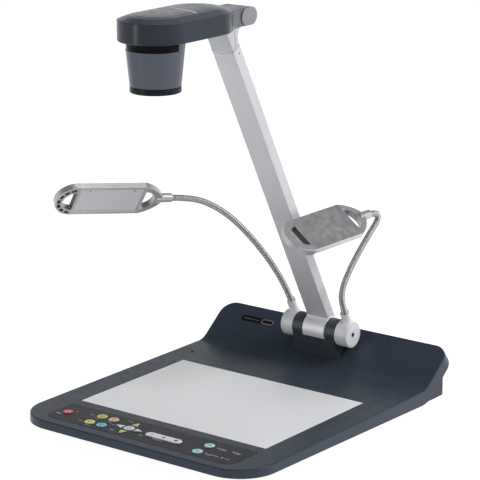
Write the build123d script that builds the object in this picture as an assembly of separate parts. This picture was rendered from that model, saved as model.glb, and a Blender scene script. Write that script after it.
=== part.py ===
from build123d import *
import os
from math import cos, degrees, radians, sin, sqrt, tan

# Desktop document camera with a back-lit stage, a folding arm, a tilting camera head and two lamps.
# Millimetres. X is right, Y is back, Z is up. The pieces are drawn with the stage's centre at X = Y = 0 and
# the table at Z = 0, then all moved by FRAME_SHIFT, which puts the origin on the table under the middle of
# the whole object's outline.

# ---- Driving dimensions ----
BASE_WIDTH = 374.0
FRONT_Y = -194.0
REAR_Y = 254.0
DECK_Z = 22.0
FRONT_CORNER_R = 52.0
REAR_CORNER_R = 22.0
WALL = 2.6
SKIRT_FRONT_Z = 11.0
RAMP_START_Y = 188.0
RAMP_ANGLE = 38.0
RAMP_BEND_R = 28.0
RIM_DEPTH = 19.0
FIT = 0.3
PIN_FIT = 0.03
FRAME_SHIFT = (26.6, -40.0, 0.0)

STAGE_WIDTH = 297.0
STAGE_DEPTH = 212.0
GLASS_THICK = 3.0
LEDGE = 4.0

PANEL_WIDTH = 299.0
PANEL_FRONT_Y = -178.5
PANEL_REAR_Y = -121.5
PANEL_CORNER_R = 15.0
PANEL_PROUD = 0.2
KEY_RISE = 1.0
KEY_TRAVEL = 0.7
ROUND_KEY_R = 6.7

HINGE_Y = 220.2
HINGE_Z = 67.1
HINGE_R = 17.8
BARREL_END_X = 18.0
KNUCKLE_END_X = 34.5
DRUM_END_X = 54.0
SHAFT_R = 5.0

ARM_LEAN = 28.1
ARM_WIDTH = 34.4
ARM_THICK = 15.8
ARM_LENGTH = 463.0
ARM_WALL = 2.0

LENS_Y = -129.0
HEAD_R = 45.5
HEAD_BOTTOM_Z = 512.0
HEAD_SIDE_Z = 537.0
HEAD_TAIL_Y = -53.0
TILT_Y = 36.0
TILT_Z = 522.0
TILT_R = 11.5

LAMP_LENGTH = 92.5
LAMP_WIDTH = 56.0
LAMP_THICK = 8.6
LAMP_HOLE_R = 18.0
NECK_R = 4.5
NECK_JOINT_GAP = 0.3


# ---- Small helpers ----
def span_box(x0, x1, y0, y1, z0, z1):
    """A box between two corners."""
    middle = ((x0 + x1) / 2, (y0 + y1) / 2, (z0 + z1) / 2)
    return Pos(*middle) * Box(abs(x1 - x0), abs(y1 - y0), abs(z1 - z0))


def x_cylinder(radius, x0, x1, y, z):
    """A round bar along X."""
    return Pos((x0 + x1) / 2, y, z) * Rot(0, 90, 0) * Cylinder(radius, abs(x1 - x0))


def z_cylinder(radius, x, y, z0, z1):
    """An upright round bar."""
    return Pos(x, y, (z0 + z1) / 2) * Cylinder(radius, z1 - z0)


def side_profile(edges, x0, x1):
    """A closed outline in the YZ plane, extruded from x0 to x1."""
    face = Face(Wire(edges))
    if face.normal_at().X < 0:
        face = -face
    return Pos(x0, 0, 0) * extrude(face, amount=x1 - x0)


def chain(points):
    """Straight edges joining YZ points, closed."""
    corners = [Vector(0, y, z) for y, z in points]
    return [Line(a, b) for a, b in zip(corners, corners[1:] + corners[:1])]


def stadium(radius, y0, y1, z0, z1):
    """An upright slab with half-round ends centred at y0 and y1."""
    body = span_box(-radius, radius, y0, y1, z0, z1)
    body += z_cylinder(radius, 0, y0, z0, z1)
    body += z_cylinder(radius, 0, y1, z0, z1)
    return body


# ---- Base: the deck line runs level, bends up and ends in a straight ramp ----
def ramp_end(drop):
    """Where the bend becomes the straight ramp, on a line lying `drop` below the deck."""
    r = RAMP_BEND_R + drop
    a = radians(RAMP_ANGLE)
    return RAMP_START_Y + r * sin(a), DECK_Z + RAMP_BEND_R - r * cos(a)


def ramp_z(y, drop):
    """Height of that line at y, on the straight ramp."""
    y_end, z_end = ramp_end(drop)
    return z_end + (y - y_end) * tan(radians(RAMP_ANGLE))


def deck_line(drop, front_y, rear_y, front_z=None):
    """Edges of that line from front to rear; front_z makes its level part slope."""
    r = RAMP_BEND_R + drop
    half = radians(RAMP_ANGLE) / 2
    level = DECK_Z - drop
    start = Vector(0, RAMP_START_Y, level)
    middle = Vector(0, RAMP_START_Y + r * sin(half), DECK_Z + RAMP_BEND_R - r * cos(half))
    y_end, z_end = ramp_end(drop)
    front = Vector(0, front_y, level if front_z is None else front_z)
    rear = Vector(0, rear_y, ramp_z(rear_y, drop))
    bend_end = Vector(0, y_end, z_end)
    return [Line(front, start), ThreePointArc(start, middle, bend_end), Line(bend_end, rear)]


def end_y(drop, inset):
    """Where that line meets the slab's rear end, which is square to the ramp."""
    a = radians(RAMP_ANGLE)
    return REAR_Y - inset * cos(a) + drop * sin(a)


def plan_block(inset):
    """The base's sides and rounded front, inset all round, as a tall block."""
    rear = REAR_Y + 60
    front = FRONT_Y + inset
    plan = Pos(0, (rear + front) / 2) * Rectangle(BASE_WIDTH - 2 * inset, rear - front)
    plan = fillet(plan.vertices().group_by(Axis.Y)[0], FRONT_CORNER_R - inset)
    return extrude(plan, amount=120)


def deck_slab(top_drop, low_drop, inset, low_front_z):
    """Everything between two such lines, inset all round, with rounded corners."""
    top = deck_line(top_drop, FRONT_Y - 5, end_y(top_drop, inset))
    low = deck_line(low_drop, FRONT_Y - 5, end_y(low_drop, inset), low_front_z)
    ends = [Line(top[0] @ 0, low[0] @ 0), Line(top[-1] @ 1, low[-1] @ 1)]
    half = BASE_WIDTH / 2 - inset
    slab = side_profile(top + low + ends, -half, half)
    end_line = ((low[-1] @ 1) - (top[-1] @ 1)).normalized()
    corners = slab.edges().filter_by(lambda edge: abs((edge % 0.5).dot(end_line)) > 0.999)
    slab = fillet(corners, REAR_CORNER_R - inset)
    return slab & plan_block(inset)


def skirt_z(y):
    """Height of the skirt's lower edge on its sloping front part."""
    level = DECK_Z - RIM_DEPTH
    return level + (SKIRT_FRONT_Z - level) * (RAMP_START_Y - y) / (RAMP_START_Y - FRONT_Y)


def rim_edges(shell):
    """The outer edge all round the top of the base."""
    rim = []
    for edge in shell.edges():
        middle = edge @ 0.5
        y = middle.Y
        if y < RAMP_START_Y:
            top = DECK_Z
        elif y < ramp_end(0)[0]:
            top = DECK_Z + RAMP_BEND_R - sqrt(RAMP_BEND_R**2 - (y - RAMP_START_Y) ** 2)
        else:
            top = ramp_z(y, 0)
        across = abs((edge @ 0).X + (edge @ 1).X) < 0.01 and FRONT_Y + 1 < y < REAR_Y - 1
        if abs(middle.Z - top) < 0.05 and not across:
            rim.append(edge)
    return rim


# ---- Keys of the control panel ----
PAD_X = -30.0
PAD_Y = -151.5
ARROW_INNER_R = 11.0
ARROW_TIP_R = 21.5
ARROW_HALF = 6.0
ROCKER_X = 26.5
ROCKER_Y = -152.5
ROCKER_LENGTH = 55.0
ROCKER_R = 6.4
KEY_CLEAR = 0.25

ROUND_KEYS = {
    "key_power": (-131.5, -150.8),
    "key_source_1": (-84.6, -138.8),
    "key_source_2": (-65.4, -138.8),
    "key_source_3": (-84.6, -163.0),
    "key_source_4": (-65.4, -163.0),
    "key_pad_centre": (PAD_X, PAD_Y),
    "key_lamp_top": (88.4, -140.0),
    "key_lamp_front": (88.4, -164.0),
}
ARROW_KEYS = {"key_pad_right": 0, "key_pad_back": 90, "key_pad_left": 180, "key_pad_front": 270}


def arrow_sketch(grow):
    """An arrowhead pointing along +X, hollow where it faces the round middle key."""
    half = ARROW_HALF + grow
    tip = ARROW_TIP_R + 1.6 * grow
    head = make_face(Polyline((6, -half), (tip, 0), (6, half), close=True))
    head = fillet(head.vertices().sort_by(Axis.X)[-1], 0.8)
    return head - Circle(ARROW_INNER_R - grow)


def key_sketch(name, grow):
    """Plan shape of a key, grown by `grow` all round, at its place on the panel."""
    if name in ROUND_KEYS:
        x, y = ROUND_KEYS[name]
        return Pos(x, y) * Circle(ROUND_KEY_R + grow)
    if name in ARROW_KEYS:
        return Pos(PAD_X, PAD_Y) * Rot(0, 0, ARROW_KEYS[name]) * arrow_sketch(grow)
    slot = SlotOverall(ROCKER_LENGTH + 2 * grow, 2 * (ROCKER_R + grow))
    return Pos(ROCKER_X, ROCKER_Y) * slot


KEY_NAMES = list(ROUND_KEYS) + list(ARROW_KEYS) + ["key_zoom_rocker"]
SWITCH_TOP_Z = DECK_Z - 5.0
KEY_STEM_LOW = SWITCH_TOP_Z + KEY_TRAVEL + 0.1
KEY_FLANGE_TOP = DECK_Z - WALL - 0.8


def key_prism(name, grow, z0, z1):
    """A key's plan shape, drawn up from z0 to z1."""
    return Pos(0, 0, z0) * extrude(key_sketch(name, grow), amount=z1 - z0)


def panel_block(inset, z0, z1):
    """The control panel's outline: square at the back, rounded at the front."""
    depth = PANEL_REAR_Y - PANEL_FRONT_Y - 2 * inset
    plan = Pos(0, (PANEL_REAR_Y + PANEL_FRONT_Y) / 2) * Rectangle(PANEL_WIDTH - 2 * inset, depth)
    plan = fillet(plan.vertices().sort_by(Axis.Y)[:2], PANEL_CORNER_R)
    plan = fillet(plan.vertices().sort_by(Axis.Y)[-2:], 2.0)
    return Pos(0, 0, z0) * extrude(plan, amount=z1 - z0)


PANEL_LOW_Z = DECK_Z - 0.8
PANEL_TOP_Z = DECK_Z + PANEL_PROUD
POWER_LAMP = (-122.4, -143.8)
STATUS_LAMPS = [(101.2, -140.0), (124.6, -139.6), (101.4, -163.4), (125.6, -163.6)]
LAMP_DOT_R = 1.0


# ---- Rear sockets: (x centre, width, height) of each opening in the rear wall ----
SOCKET_Z = 18.0
POWER_X = 118.0
POWER_BODY = 14.0
AV_SOCKETS = [(-120.0, 31.0, 12.5), (-78.0, 31.0, 12.5), (-38.0, 15.0, 6.4), (-10.0, 12.0, 11.0)]
BOARD_Z = 8.0
BOARD_THICK = 1.6


def base_shell():
    """Top cover: deck, ramp and skirt in one moulding, open underneath."""
    outer = deck_slab(0, RIM_DEPTH, 0, SKIRT_FRONT_Z)
    outer = fillet(rim_edges(outer), 1.8)
    shell = outer - deck_slab(WALL, RIM_DEPTH + 60, WALL, -60.0)
    half_w = STAGE_WIDTH / 2
    half_d = STAGE_DEPTH / 2
    frame_z = DECK_Z - GLASS_THICK - 1.6
    frame = span_box(-half_w - 3, half_w + 3, -half_d - 3, half_d + 3, frame_z, DECK_Z - 1)
    shell += frame
    pocket_z = DECK_Z - GLASS_THICK
    shell -= span_box(
        -half_w - 0.15, half_w + 0.15, -half_d - 0.15, half_d + 0.15, pocket_z, DECK_Z + 1
    )
    lit_w = half_w - LEDGE
    lit_d = half_d - LEDGE
    shell -= span_box(-lit_w, lit_w, -lit_d, lit_d, frame_z - 1, DECK_Z)
    shell -= panel_block(-0.1, PANEL_LOW_Z, DECK_Z + 1)
    for name in KEY_NAMES:
        shell -= key_prism(name, KEY_CLEAR, DECK_Z - WALL - 1, DECK_Z)
    return shell


COVER_SCREWS = [(x, y) for x in (-172.0, 172.0) for y in (-100.0, 20.0, 140.0)]


def bottom_cover():
    """Flat cover under the deck, with rows of cooling slots."""
    inset = WALL + 0.3
    rear = RAMP_START_Y
    low_front = skirt_z(FRONT_Y + inset) + 0.3
    low_rear = skirt_z(rear) + 0.3
    outline = chain(
        [
            (FRONT_Y, low_front),
            (rear, low_rear),
            (rear, low_rear + 2.0),
            (FRONT_Y, low_front + 2.0),
        ]
    )
    cover = side_profile(outline, -BASE_WIDTH / 2, BASE_WIDTH / 2) & plan_block(inset)
    for column in range(-3, 4):
        for row in range(4):
            x = column * 16.0
            y = 60.0 + row * 26.0
            cover -= span_box(x - 1.6, x + 1.6, y - 10, y + 10, 0, 12)
    for x, y in COVER_SCREWS:
        cover -= z_cylinder(1.7, x, y, 0, 16)
    return cover


def cover_screws():
    """Six pan-head screws holding the bottom cover."""
    screws = []
    for x, y in COVER_SCREWS:
        head_top = skirt_z(y) + 0.2
        head = z_cylinder(2.9, x, y, head_top - 1.6, head_top)
        shank = z_cylinder(1.5, x, y, head_top, head_top + 7.5)
        slot = span_box(x - 2.0, x + 2.0, y - 0.35, y + 0.35, head_top - 2, head_top - 0.8)
        screws.append(head + shank - slot)
    return Compound(screws)


HOUSING_HALF = 181.0
HOUSING_FRONT_Y = 190.0
HOUSING_REAR_Y = 251.0
SOCKET_REAR_Y = HOUSING_REAR_Y - 0.4
HOUSING_LOW_Z = 1.2


def rear_housing():
    """Box under the ramp that carries the sockets and the rear feet."""
    top = deck_line(RIM_DEPTH + 0.4, HOUSING_FRONT_Y, HOUSING_REAR_Y)
    y0 = HOUSING_FRONT_Y
    y1 = HOUSING_REAR_Y
    z0 = HOUSING_LOW_Z
    corners = [top[1] @ 0, Vector(0, RAMP_START_Y, z0), Vector(0, y1, z0), top[2] @ 1]
    sides = [Line(a, b) for a, b in zip(corners, corners[1:])]
    outer = side_profile(top[1:] + sides, -HOUSING_HALF, HOUSING_HALF)
    upright = outer.edges().filter_by(Axis.Z).filter_by(lambda e: (e @ 0.5).Y > y1 - 1)
    outer = fillet(upright, 5.0)
    inner = span_box(
        -HOUSING_HALF + WALL, HOUSING_HALF - WALL, y0 + WALL, y1 - WALL, z0 + 2.0, 80.0
    )
    housing = outer - inner
    for x, width, height in AV_SOCKETS:
        housing -= span_box(
            x - width / 2 - 0.3, x + width / 2 + 0.3, y1 - 4, y1 + 1,
            SOCKET_Z - height / 2 - 0.3, SOCKET_Z + height / 2 + 0.3,
        )
    half = POWER_BODY / 2 + 0.3
    housing -= span_box(
        POWER_X - half, POWER_X + half, y1 - 4, y1 + 1, SOCKET_Z - half, SOCKET_Z + half
    )
    for index in range(8):
        x = 30.0 + 7.0 * index
        housing -= span_box(x - 1.2, x + 1.2, y1 - 4, y1 + 1, 10, 26)
    for x in (-150.0, 150.0):
        housing -= z_cylinder(8.2, x, 218.0, z0 - 1, z0 + 0.8)
    return housing


def main_board():
    """Circuit board behind the sockets."""
    board = span_box(-140, 140, 200, SOCKET_REAR_Y - 4, BOARD_Z, BOARD_Z + BOARD_THICK)
    for x in (-134.0, 134.0):
        board -= z_cylinder(1.6, x, 206, 0, 20)
    board += span_box(10, 30, 208, 228, BOARD_Z + BOARD_THICK, BOARD_Z + BOARD_THICK + 3)
    board += span_box(60, 74, 210, 224, BOARD_Z + BOARD_THICK, BOARD_Z + BOARD_THICK + 2)
    return board


def power_inlet():
    """Low-voltage jack: a block with a round bore and a centre pin."""
    half = POWER_BODY / 2
    floor = BOARD_Z + BOARD_THICK
    rear = SOCKET_REAR_Y
    front = rear - 17.6
    body = span_box(POWER_X - half, POWER_X + half, front, rear, SOCKET_Z - half, SOCKET_Z + half)
    body += span_box(POWER_X - half, POWER_X + half, front, rear - 4.6, floor, SOCKET_Z)
    bore = Pos(POWER_X, rear - 6, SOCKET_Z) * Rot(90, 0, 0) * Cylinder(3.2, 14)
    pin = Pos(POWER_X, rear - 7, SOCKET_Z) * Rot(90, 0, 0) * Cylinder(1.0, 12)
    return body - bore + pin


def av_sockets():
    """Two fifteen-pin video sockets, a flat digital video socket and a square data socket."""
    sockets = []
    floor = BOARD_Z + BOARD_THICK
    rear = SOCKET_REAR_Y
    front = rear - 14.6
    for x, width, height in AV_SOCKETS:
        top = SOCKET_Z + height / 2
        low = SOCKET_Z - height / 2
        body = span_box(x - width / 2, x + width / 2, front, rear, low, top)
        body += span_box(x - width / 2, x + width / 2, front, rear - 4.6, floor, top)
        if width > 20:
            rim = span_box(x - 8.5, x + 8.5, rear - 1, rear + 4.5, SOCKET_Z - 4.2, SOCKET_Z + 4.2)
            rim = fillet(rim.edges().filter_by(Axis.Y), 2.0)
            body += rim
            for row in range(3):
                for column in range(5):
                    pin_x = x + (column - 2) * 2.3 + (row - 1) * 0.6
                    pin_z = SOCKET_Z + (row - 1) * 2.0
                    hole = Pos(pin_x, rear + 2, pin_z) * Rot(90, 0, 0) * Cylinder(0.5, 8)
                    body -= hole
        else:
            wall = 0.8
            body -= span_box(
                x - width / 2 + wall, x + width / 2 - wall, rear - 8.6, rear + 3.4,
                low + wall, top - wall,
            )
            tongue = 1.4 if height < 8 else 4.4
            body += span_box(
                x - width / 2 + 2.6, x + width / 2 - 2.6, rear - 10.6, rear - 1.1,
                SOCKET_Z - tongue / 2, SOCKET_Z + tongue / 2,
            )
        sockets.append(body)
    return Compound(sockets)


def feet_front():
    """Two tall feet under the front of the deck, set well in from the edge."""
    feet = []
    for x in (-140.0, 140.0):
        y = -148.0
        top = skirt_z(y)
        leg = Pos(x, y, 2 + (top - 2) / 2) * Cone(10.0, 12.0, top - 2)
        pad = z_cylinder(9.0, x, y, 0, 2)
        feet.append(leg + pad)
    return Compound(feet)


def feet_rear():
    """Two flat rubber feet let into the rear housing."""
    pads = []
    for x in (-150.0, 150.0):
        pad = z_cylinder(8.0, x, 218.0, 0, HOUSING_LOW_Z + 0.8)
        pad = chamfer(pad.edges().group_by(Axis.Z)[0], 0.5)
        pads.append(pad)
    return Compound(pads)


def stage_glass():
    """Frosted A4 plate that papers are laid on."""
    half_w = STAGE_WIDTH / 2
    half_d = STAGE_DEPTH / 2
    plate = span_box(-half_w, half_w, -half_d, half_d, DECK_Z - GLASS_THICK, DECK_Z - 0.1)
    return chamfer(plate.edges().group_by(Axis.Z)[-1], 0.4)


GUIDE_Z = DECK_Z - GLASS_THICK - 1.7


def light_guide():
    """Clear plate that spreads the light under the stage."""
    half_w = STAGE_WIDTH / 2 - 1
    half_d = STAGE_DEPTH / 2 - 3
    return span_box(-half_w, half_w, -half_d, half_d, GUIDE_Z - 3, GUIDE_Z)


def led_strips():
    """Two light strips facing the long edges of the guide."""
    strips = []
    for side in (-1, 1):
        y = side * (STAGE_DEPTH / 2 - 2.2)
        strip = span_box(-140, 140, y - 0.6, y + 0.6, GUIDE_Z - 3, GUIDE_Z)
        strips.append(strip)
    return Compound(strips)


def panel_overlay():
    """Thin dark facing of the control panel, pierced for the keys and lights."""
    overlay = panel_block(0, PANEL_LOW_Z, PANEL_TOP_Z)
    for name in KEY_NAMES:
        overlay -= key_prism(name, KEY_CLEAR, 0, DECK_Z + 5)
    for x, y in [POWER_LAMP] + STATUS_LAMPS:
        overlay -= z_cylinder(LAMP_DOT_R, x, y, 0, DECK_Z + 5)
    return overlay


def key_board():
    """Circuit board with a switch under each round key and a light under each dot."""
    top = SWITCH_TOP_Z - 0.4
    board = span_box(-143, 143, -174, -127, top - 1.6, top)
    for x, y in ROUND_KEYS.values():
        board += z_cylinder(2.5, x, y, top, SWITCH_TOP_Z)
    for x, y in [POWER_LAMP] + STATUS_LAMPS:
        board += z_cylinder(0.7, x, y, top, top + 1.6)
    return board


def key(name):
    """A key: cap through the panel, and a wider flange under the deck that holds it in."""
    top = PANEL_TOP_Z + KEY_RISE
    cap = key_prism(name, 0, KEY_STEM_LOW, top)
    cap = chamfer(cap.edges().group_by(Axis.Z)[-1], 0.35)
    return cap + key_prism(name, 0.9, KEY_STEM_LOW, KEY_FLANGE_TOP)


def zoom_rocker():
    """Long key that rocks on a ridge under its middle."""
    top = PANEL_TOP_Z + KEY_RISE
    cap = key_prism("key_zoom_rocker", 0, DECK_Z - 3.0, top)
    cap = chamfer(cap.edges().group_by(Axis.Z)[-1], 0.35)
    ridge = Pos(ROCKER_X, ROCKER_Y, DECK_Z - 3.4) * Rot(90, 0, 0) * Cylinder(1.0, 10)
    stem = span_box(ROCKER_X - 1, ROCKER_X + 1, ROCKER_Y - 5, ROCKER_Y + 5, DECK_Z - 3.4, DECK_Z - 3)
    return cap + stem + ridge


BRACKET_FRONT_Y = 203.5
BRACKET_TOP_Z = 58.5


def hinge_bracket():
    """Wedge on the ramp with two knuckles that hold the hinge shaft."""
    foot_y = 209.5
    back_y = 238.0
    outline = chain(
        [
            (BRACKET_FRONT_Y, BRACKET_TOP_Z),
            (foot_y, ramp_z(foot_y, 0)),
            (back_y, ramp_z(back_y, 0)),
            (back_y, HINGE_Z - 8),
            (HINGE_Y, HINGE_Z),
        ]
    )
    flare_low = ramp_z(foot_y, 0)
    half_top = KNUCKLE_END_X - FIT
    wedge = side_profile(outline, -38, 38)
    trapezoid = make_face(
        Polyline(
            (-half_top - 3, flare_low), (half_top + 3, flare_low),
            (half_top, BRACKET_TOP_Z - 4), (half_top, 90), (-half_top, 90), (-half_top, BRACKET_TOP_Z - 4),
            close=True,
        )
    )
    wedge &= Pos(0, 300, 0) * Rot(90, 0, 0) * extrude(trapezoid, amount=200)
    knuckles = x_cylinder(HINGE_R, -half_top, half_top, HINGE_Y, HINGE_Z)
    bracket = wedge + knuckles
    bracket -= x_cylinder(HINGE_R + 0.5, -BARREL_END_X - FIT, BARREL_END_X + FIT, HINGE_Y, HINGE_Z)
    bracket -= x_cylinder(HINGE_R + 0.5, half_top, 60, HINGE_Y, HINGE_Z)
    bracket -= x_cylinder(HINGE_R + 0.5, -60, -half_top, HINGE_Y, HINGE_Z)
    bracket -= x_cylinder(SHAFT_R + PIN_FIT, -60, 60, HINGE_Y, HINGE_Z)
    sweep_back = span_box(-BARREL_END_X - FIT, BARREL_END_X + FIT, 225, 260, 60, 100)
    return bracket - sweep_back


def hinge_shaft():
    """Steel shaft through the bracket, the arm's barrel and both lamp drums."""
    return x_cylinder(SHAFT_R, -DRUM_END_X + 4, DRUM_END_X - 4, HINGE_Y, HINGE_Z)


BADGE_X = -118.0
BADGE_Y = 236.0


def badge():
    """Blank name plate on the ramp."""
    ramp = Plane(
        origin=(BADGE_X, BADGE_Y, ramp_z(BADGE_Y, 0)), x_dir=(1, 0, 0),
        z_dir=(0, -sin(radians(RAMP_ANGLE)), cos(radians(RAMP_ANGLE))),
    )
    return ramp * extrude(SlotOverall(56.0, 9.4), amount=0.8)


def sensor_window():
    """Small remote-control window at the rear left of the deck."""
    return z_cylinder(2.0, -162.0, 143.0, DECK_Z, DECK_Z + 0.5)


# ---- Arm ----
LEAN = radians(ARM_LEAN)
COLLAR_R = HINGE_R + 2.2
ARM_FOOT_Y = 220.1
ARM_FOOT_Z = 72.0


def arm_point(along, depth):
    """A point on the arm: along it from the foot, and back from its front face."""
    y = ARM_FOOT_Y - along * sin(LEAN) + depth * cos(LEAN)
    z = ARM_FOOT_Z + along * cos(LEAN) + depth * sin(LEAN)
    return y, z


def arm_slab(along0, along1, depth0, depth1, half_width):
    """A block lined up with the leaning arm."""
    corners = [(along0, depth0), (along1, depth0), (along1, depth1), (along0, depth1)]
    return side_profile(chain([arm_point(a, d) for a, d in corners]), -half_width, half_width)


def arm_barrel():
    """Middle hinge barrel, with the stub that the arm's tube slides over."""
    end = BARREL_END_X
    barrel = x_cylinder(HINGE_R, -end, end, HINGE_Y, HINGE_Z)
    barrel = chamfer(barrel.edges().filter_by(GeomType.CIRCLE), 0.6)
    collar = arm_slab(0, 30, -0.7, ARM_THICK + 0.7, ARM_WIDTH / 2 + 0.5)
    collar &= x_cylinder(COLLAR_R, -end, end, HINGE_Y, HINGE_Z)
    stub = arm_slab(0, 40, ARM_WALL + 0.1, ARM_THICK - ARM_WALL - 0.1, ARM_WIDTH / 2 - ARM_WALL - 0.1)
    barrel = barrel + collar + stub
    return barrel - x_cylinder(SHAFT_R + PIN_FIT, -end - 1, end + 1, HINGE_Y, HINGE_Z)


def arm_tube():
    """Rectangular tube of the arm."""
    outer = arm_slab(0, ARM_LENGTH, 0, ARM_THICK, ARM_WIDTH / 2)
    outer = chamfer(outer.edges().filter_by(lambda e: e.length > ARM_LENGTH - 10), 0.7)
    inner = arm_slab(-5, ARM_LENGTH + 5, ARM_WALL, ARM_THICK - ARM_WALL, ARM_WIDTH / 2 - ARM_WALL)
    tube = outer - inner - x_cylinder(COLLAR_R + 0.15, -20, 20, HINGE_Y, HINGE_Z)
    for along in (24.0, 31.0, ARM_LENGTH - 8.0):
        y, z = arm_point(along, 9.5)
        tube -= x_cylinder(1.3, ARM_WIDTH / 2 - 1.0, ARM_WIDTH / 2 + 1, y, z)
        tube -= x_cylinder(1.3, -ARM_WIDTH / 2 - 1, -ARM_WIDTH / 2 + 1.0, y, z)
    return tube


NECK_TOP_Z = HEAD_BOTTOM_Z - 1.6
HOOK_HALF = 7.6
PIVOT_PIN_R = 4.0


def arm_neck():
    """Top of the arm: a flared cap, with a hook inside the head that carries the tilt hinge."""
    seam = 0.25
    front_low = arm_point(ARM_LENGTH + seam, 0)
    rear_low = arm_point(ARM_LENGTH + seam, ARM_THICK)
    front_reach = (NECK_TOP_Z - front_low[1]) / cos(LEAN)
    front_top = (front_low[0] - front_reach * sin(LEAN), NECK_TOP_Z)
    rear_top = (17.7, NECK_TOP_Z)
    waist = (11.6, 499.0)
    a, b, c, d = [Vector(0, y, z) for y, z in (front_low, front_top, rear_top, rear_low)]
    edges = [Line(a, b), Line(b, c), ThreePointArc(c, Vector(0, *waist), d), Line(d, a)]
    neck = side_profile(edges, -ARM_WIDTH / 2, ARM_WIDTH / 2)
    neck = chamfer(neck.edges().filter_by(lambda e: abs((e @ 0).X) > 17 and (e % 0.5).X ** 2 < 0.1), 0.6)
    plug = arm_slab(
        ARM_LENGTH - 30, ARM_LENGTH + 6, ARM_WALL + 0.1, ARM_THICK - ARM_WALL - 0.1,
        ARM_WIDTH / 2 - ARM_WALL - 0.1,
    )
    hook = side_profile(
        chain(
            [
                (0.0, NECK_TOP_Z - 2), (3.0, NECK_TOP_Z + 8.0), (TILT_Y - 3.0, TILT_Z + 8.4),
                (TILT_Y + 4.0, TILT_Z - 8.0), (rear_top[0] - 0.5, NECK_TOP_Z - 2),
            ]
        ),
        -HOOK_HALF, HOOK_HALF,
    )
    hook += x_cylinder(9.0, -HOOK_HALF, HOOK_HALF, TILT_Y, TILT_Z)
    bore = x_cylinder(PIVOT_PIN_R + PIN_FIT, -20, 20, TILT_Y, TILT_Z)
    return neck + plug + hook - bore


# ---- Camera head ----
TAIL_HALF = 18.6
CAP_LENGTH = 31.0


def head_housing():
    """Lower shell of the camera head."""
    shell = stadium(HEAD_R, LENS_Y, HEAD_TAIL_Y, HEAD_BOTTOM_Z, HEAD_SIDE_Z)
    shell = chamfer(shell.edges().group_by(Axis.Z)[0], 0.8)
    shell -= stadium(HEAD_R - 2.4, LENS_Y, HEAD_TAIL_Y, HEAD_BOTTOM_Z + 2.4, HEAD_SIDE_Z + 1)
    shell -= z_cylinder(37.4, 0, LENS_Y, HEAD_BOTTOM_Z - 1, HEAD_BOTTOM_Z + 5)
    shell -= span_box(-24.2, 24.2, -30, 10, HEAD_BOTTOM_Z + 2.8, HEAD_SIDE_Z - 1.8)
    return shell


def head_top_cap():
    """Top cover of the head: a sloping band round a gently raised middle."""
    cap = stadium(HEAD_R - 2.6, LENS_Y, HEAD_TAIL_Y, HEAD_SIDE_Z - 1.4, HEAD_SIDE_Z)
    cap -= stadium(HEAD_R - 4.4, LENS_Y, HEAD_TAIL_Y, HEAD_SIDE_Z - 2, HEAD_SIDE_Z)
    middle_y = (LENS_Y + HEAD_TAIL_Y) / 2
    length = HEAD_TAIL_Y - LENS_Y + 2 * HEAD_R
    low_inset = 0.0
    low_rise = 0.0
    for inset, rise in ((13.0, 4.8), (22.0, 6.2), (32.0, 6.8)):
        slabs = []
        for step_inset, step_rise in ((low_inset, low_rise), (inset, rise)):
            size = 2 * (HEAD_R - step_inset)
            slot = Rot(0, 0, 90) * SlotOverall(length - 2 * step_inset, size)
            slabs.append(Pos(0, middle_y, HEAD_SIDE_Z + step_rise) * slot)
        cap += loft(slabs)
        low_inset = inset
        low_rise = rise
    return cap


def tail_plan():
    """Plan of the head's tail: it narrows from the head to the tilt hinge."""
    shoulder = (39.0, -40.0)
    waist = (TAIL_HALF + 0.2, 14.0)
    rear = TILT_Y + TILT_R
    pulls = ((30.5, -18.0), (20.6, 3.0))
    right = Spline(shoulder, *pulls, waist)
    left = Spline((-waist[0], waist[1]), (-pulls[1][0], pulls[1][1]), (-pulls[0][0], pulls[0][1]),
                  (-shoulder[0], shoulder[1]))
    back = Polyline(waist, (TAIL_HALF, 16.0), (TAIL_HALF, rear), (-TAIL_HALF, rear),
                    (-TAIL_HALF, 16.0), (-waist[0], waist[1]))
    front = Line((-shoulder[0], shoulder[1]), shoulder)
    return make_face([*right.edges(), *back.edges(), *left.edges(), *front.edges()])


def head_tail():
    """Rear part of the head, forked around the arm's hook."""
    low = TILT_Z - TILT_R
    high = TILT_Z + TILT_R
    block = Pos(0, 0, low) * extrude(tail_plan(), amount=high - low)
    side = span_box(-60, 60, -60, TILT_Y, low, high)
    side += x_cylinder(TILT_R, -60, 60, TILT_Y, TILT_Z)
    block &= side
    block -= stadium(HEAD_R + 0.7, LENS_Y, HEAD_TAIL_Y, 400, 600)
    tongue = span_box(-24.0, 24.0, -26, -4, HEAD_BOTTOM_Z + 3, HEAD_SIDE_Z - 3)
    block += tongue
    slot = HOOK_HALF + 0.5
    block -= span_box(-slot, slot, -4, 60, low - 5, TILT_Z + 8.9)
    block -= x_cylinder(9.4, -slot, slot, TILT_Y, TILT_Z)
    return block - x_cylinder(PIVOT_PIN_R + PIN_FIT, -20, 20, TILT_Y, TILT_Z)


def pivot_caps():
    """Oval side covers of the tilt hinge; each one's stub is half of its pin."""
    caps = []
    middle_y = TILT_Y + TILT_R - CAP_LENGTH / 2
    oval = Plane.YZ * SlotOverall(CAP_LENGTH, 2 * TILT_R - 0.6)
    for side in (-1, 1):
        plate = extrude(oval, amount=1.4)
        x = TAIL_HALF if side > 0 else -TAIL_HALF - 1.4
        plate = Pos(x, middle_y, TILT_Z) * plate
        pin = x_cylinder(PIVOT_PIN_R, side * 0.4, side * (TAIL_HALF + 0.2), TILT_Y, TILT_Z)
        caps.append(plate + pin)
    return Compound(caps)


BARREL_TOP_R = 36.8
BARREL_LOW_R = 31.3
BARREL_LOW_Z = 457.6
WINDOW_LOW_Z = 501.5
RING_LOW_Z = 449.8


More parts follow.
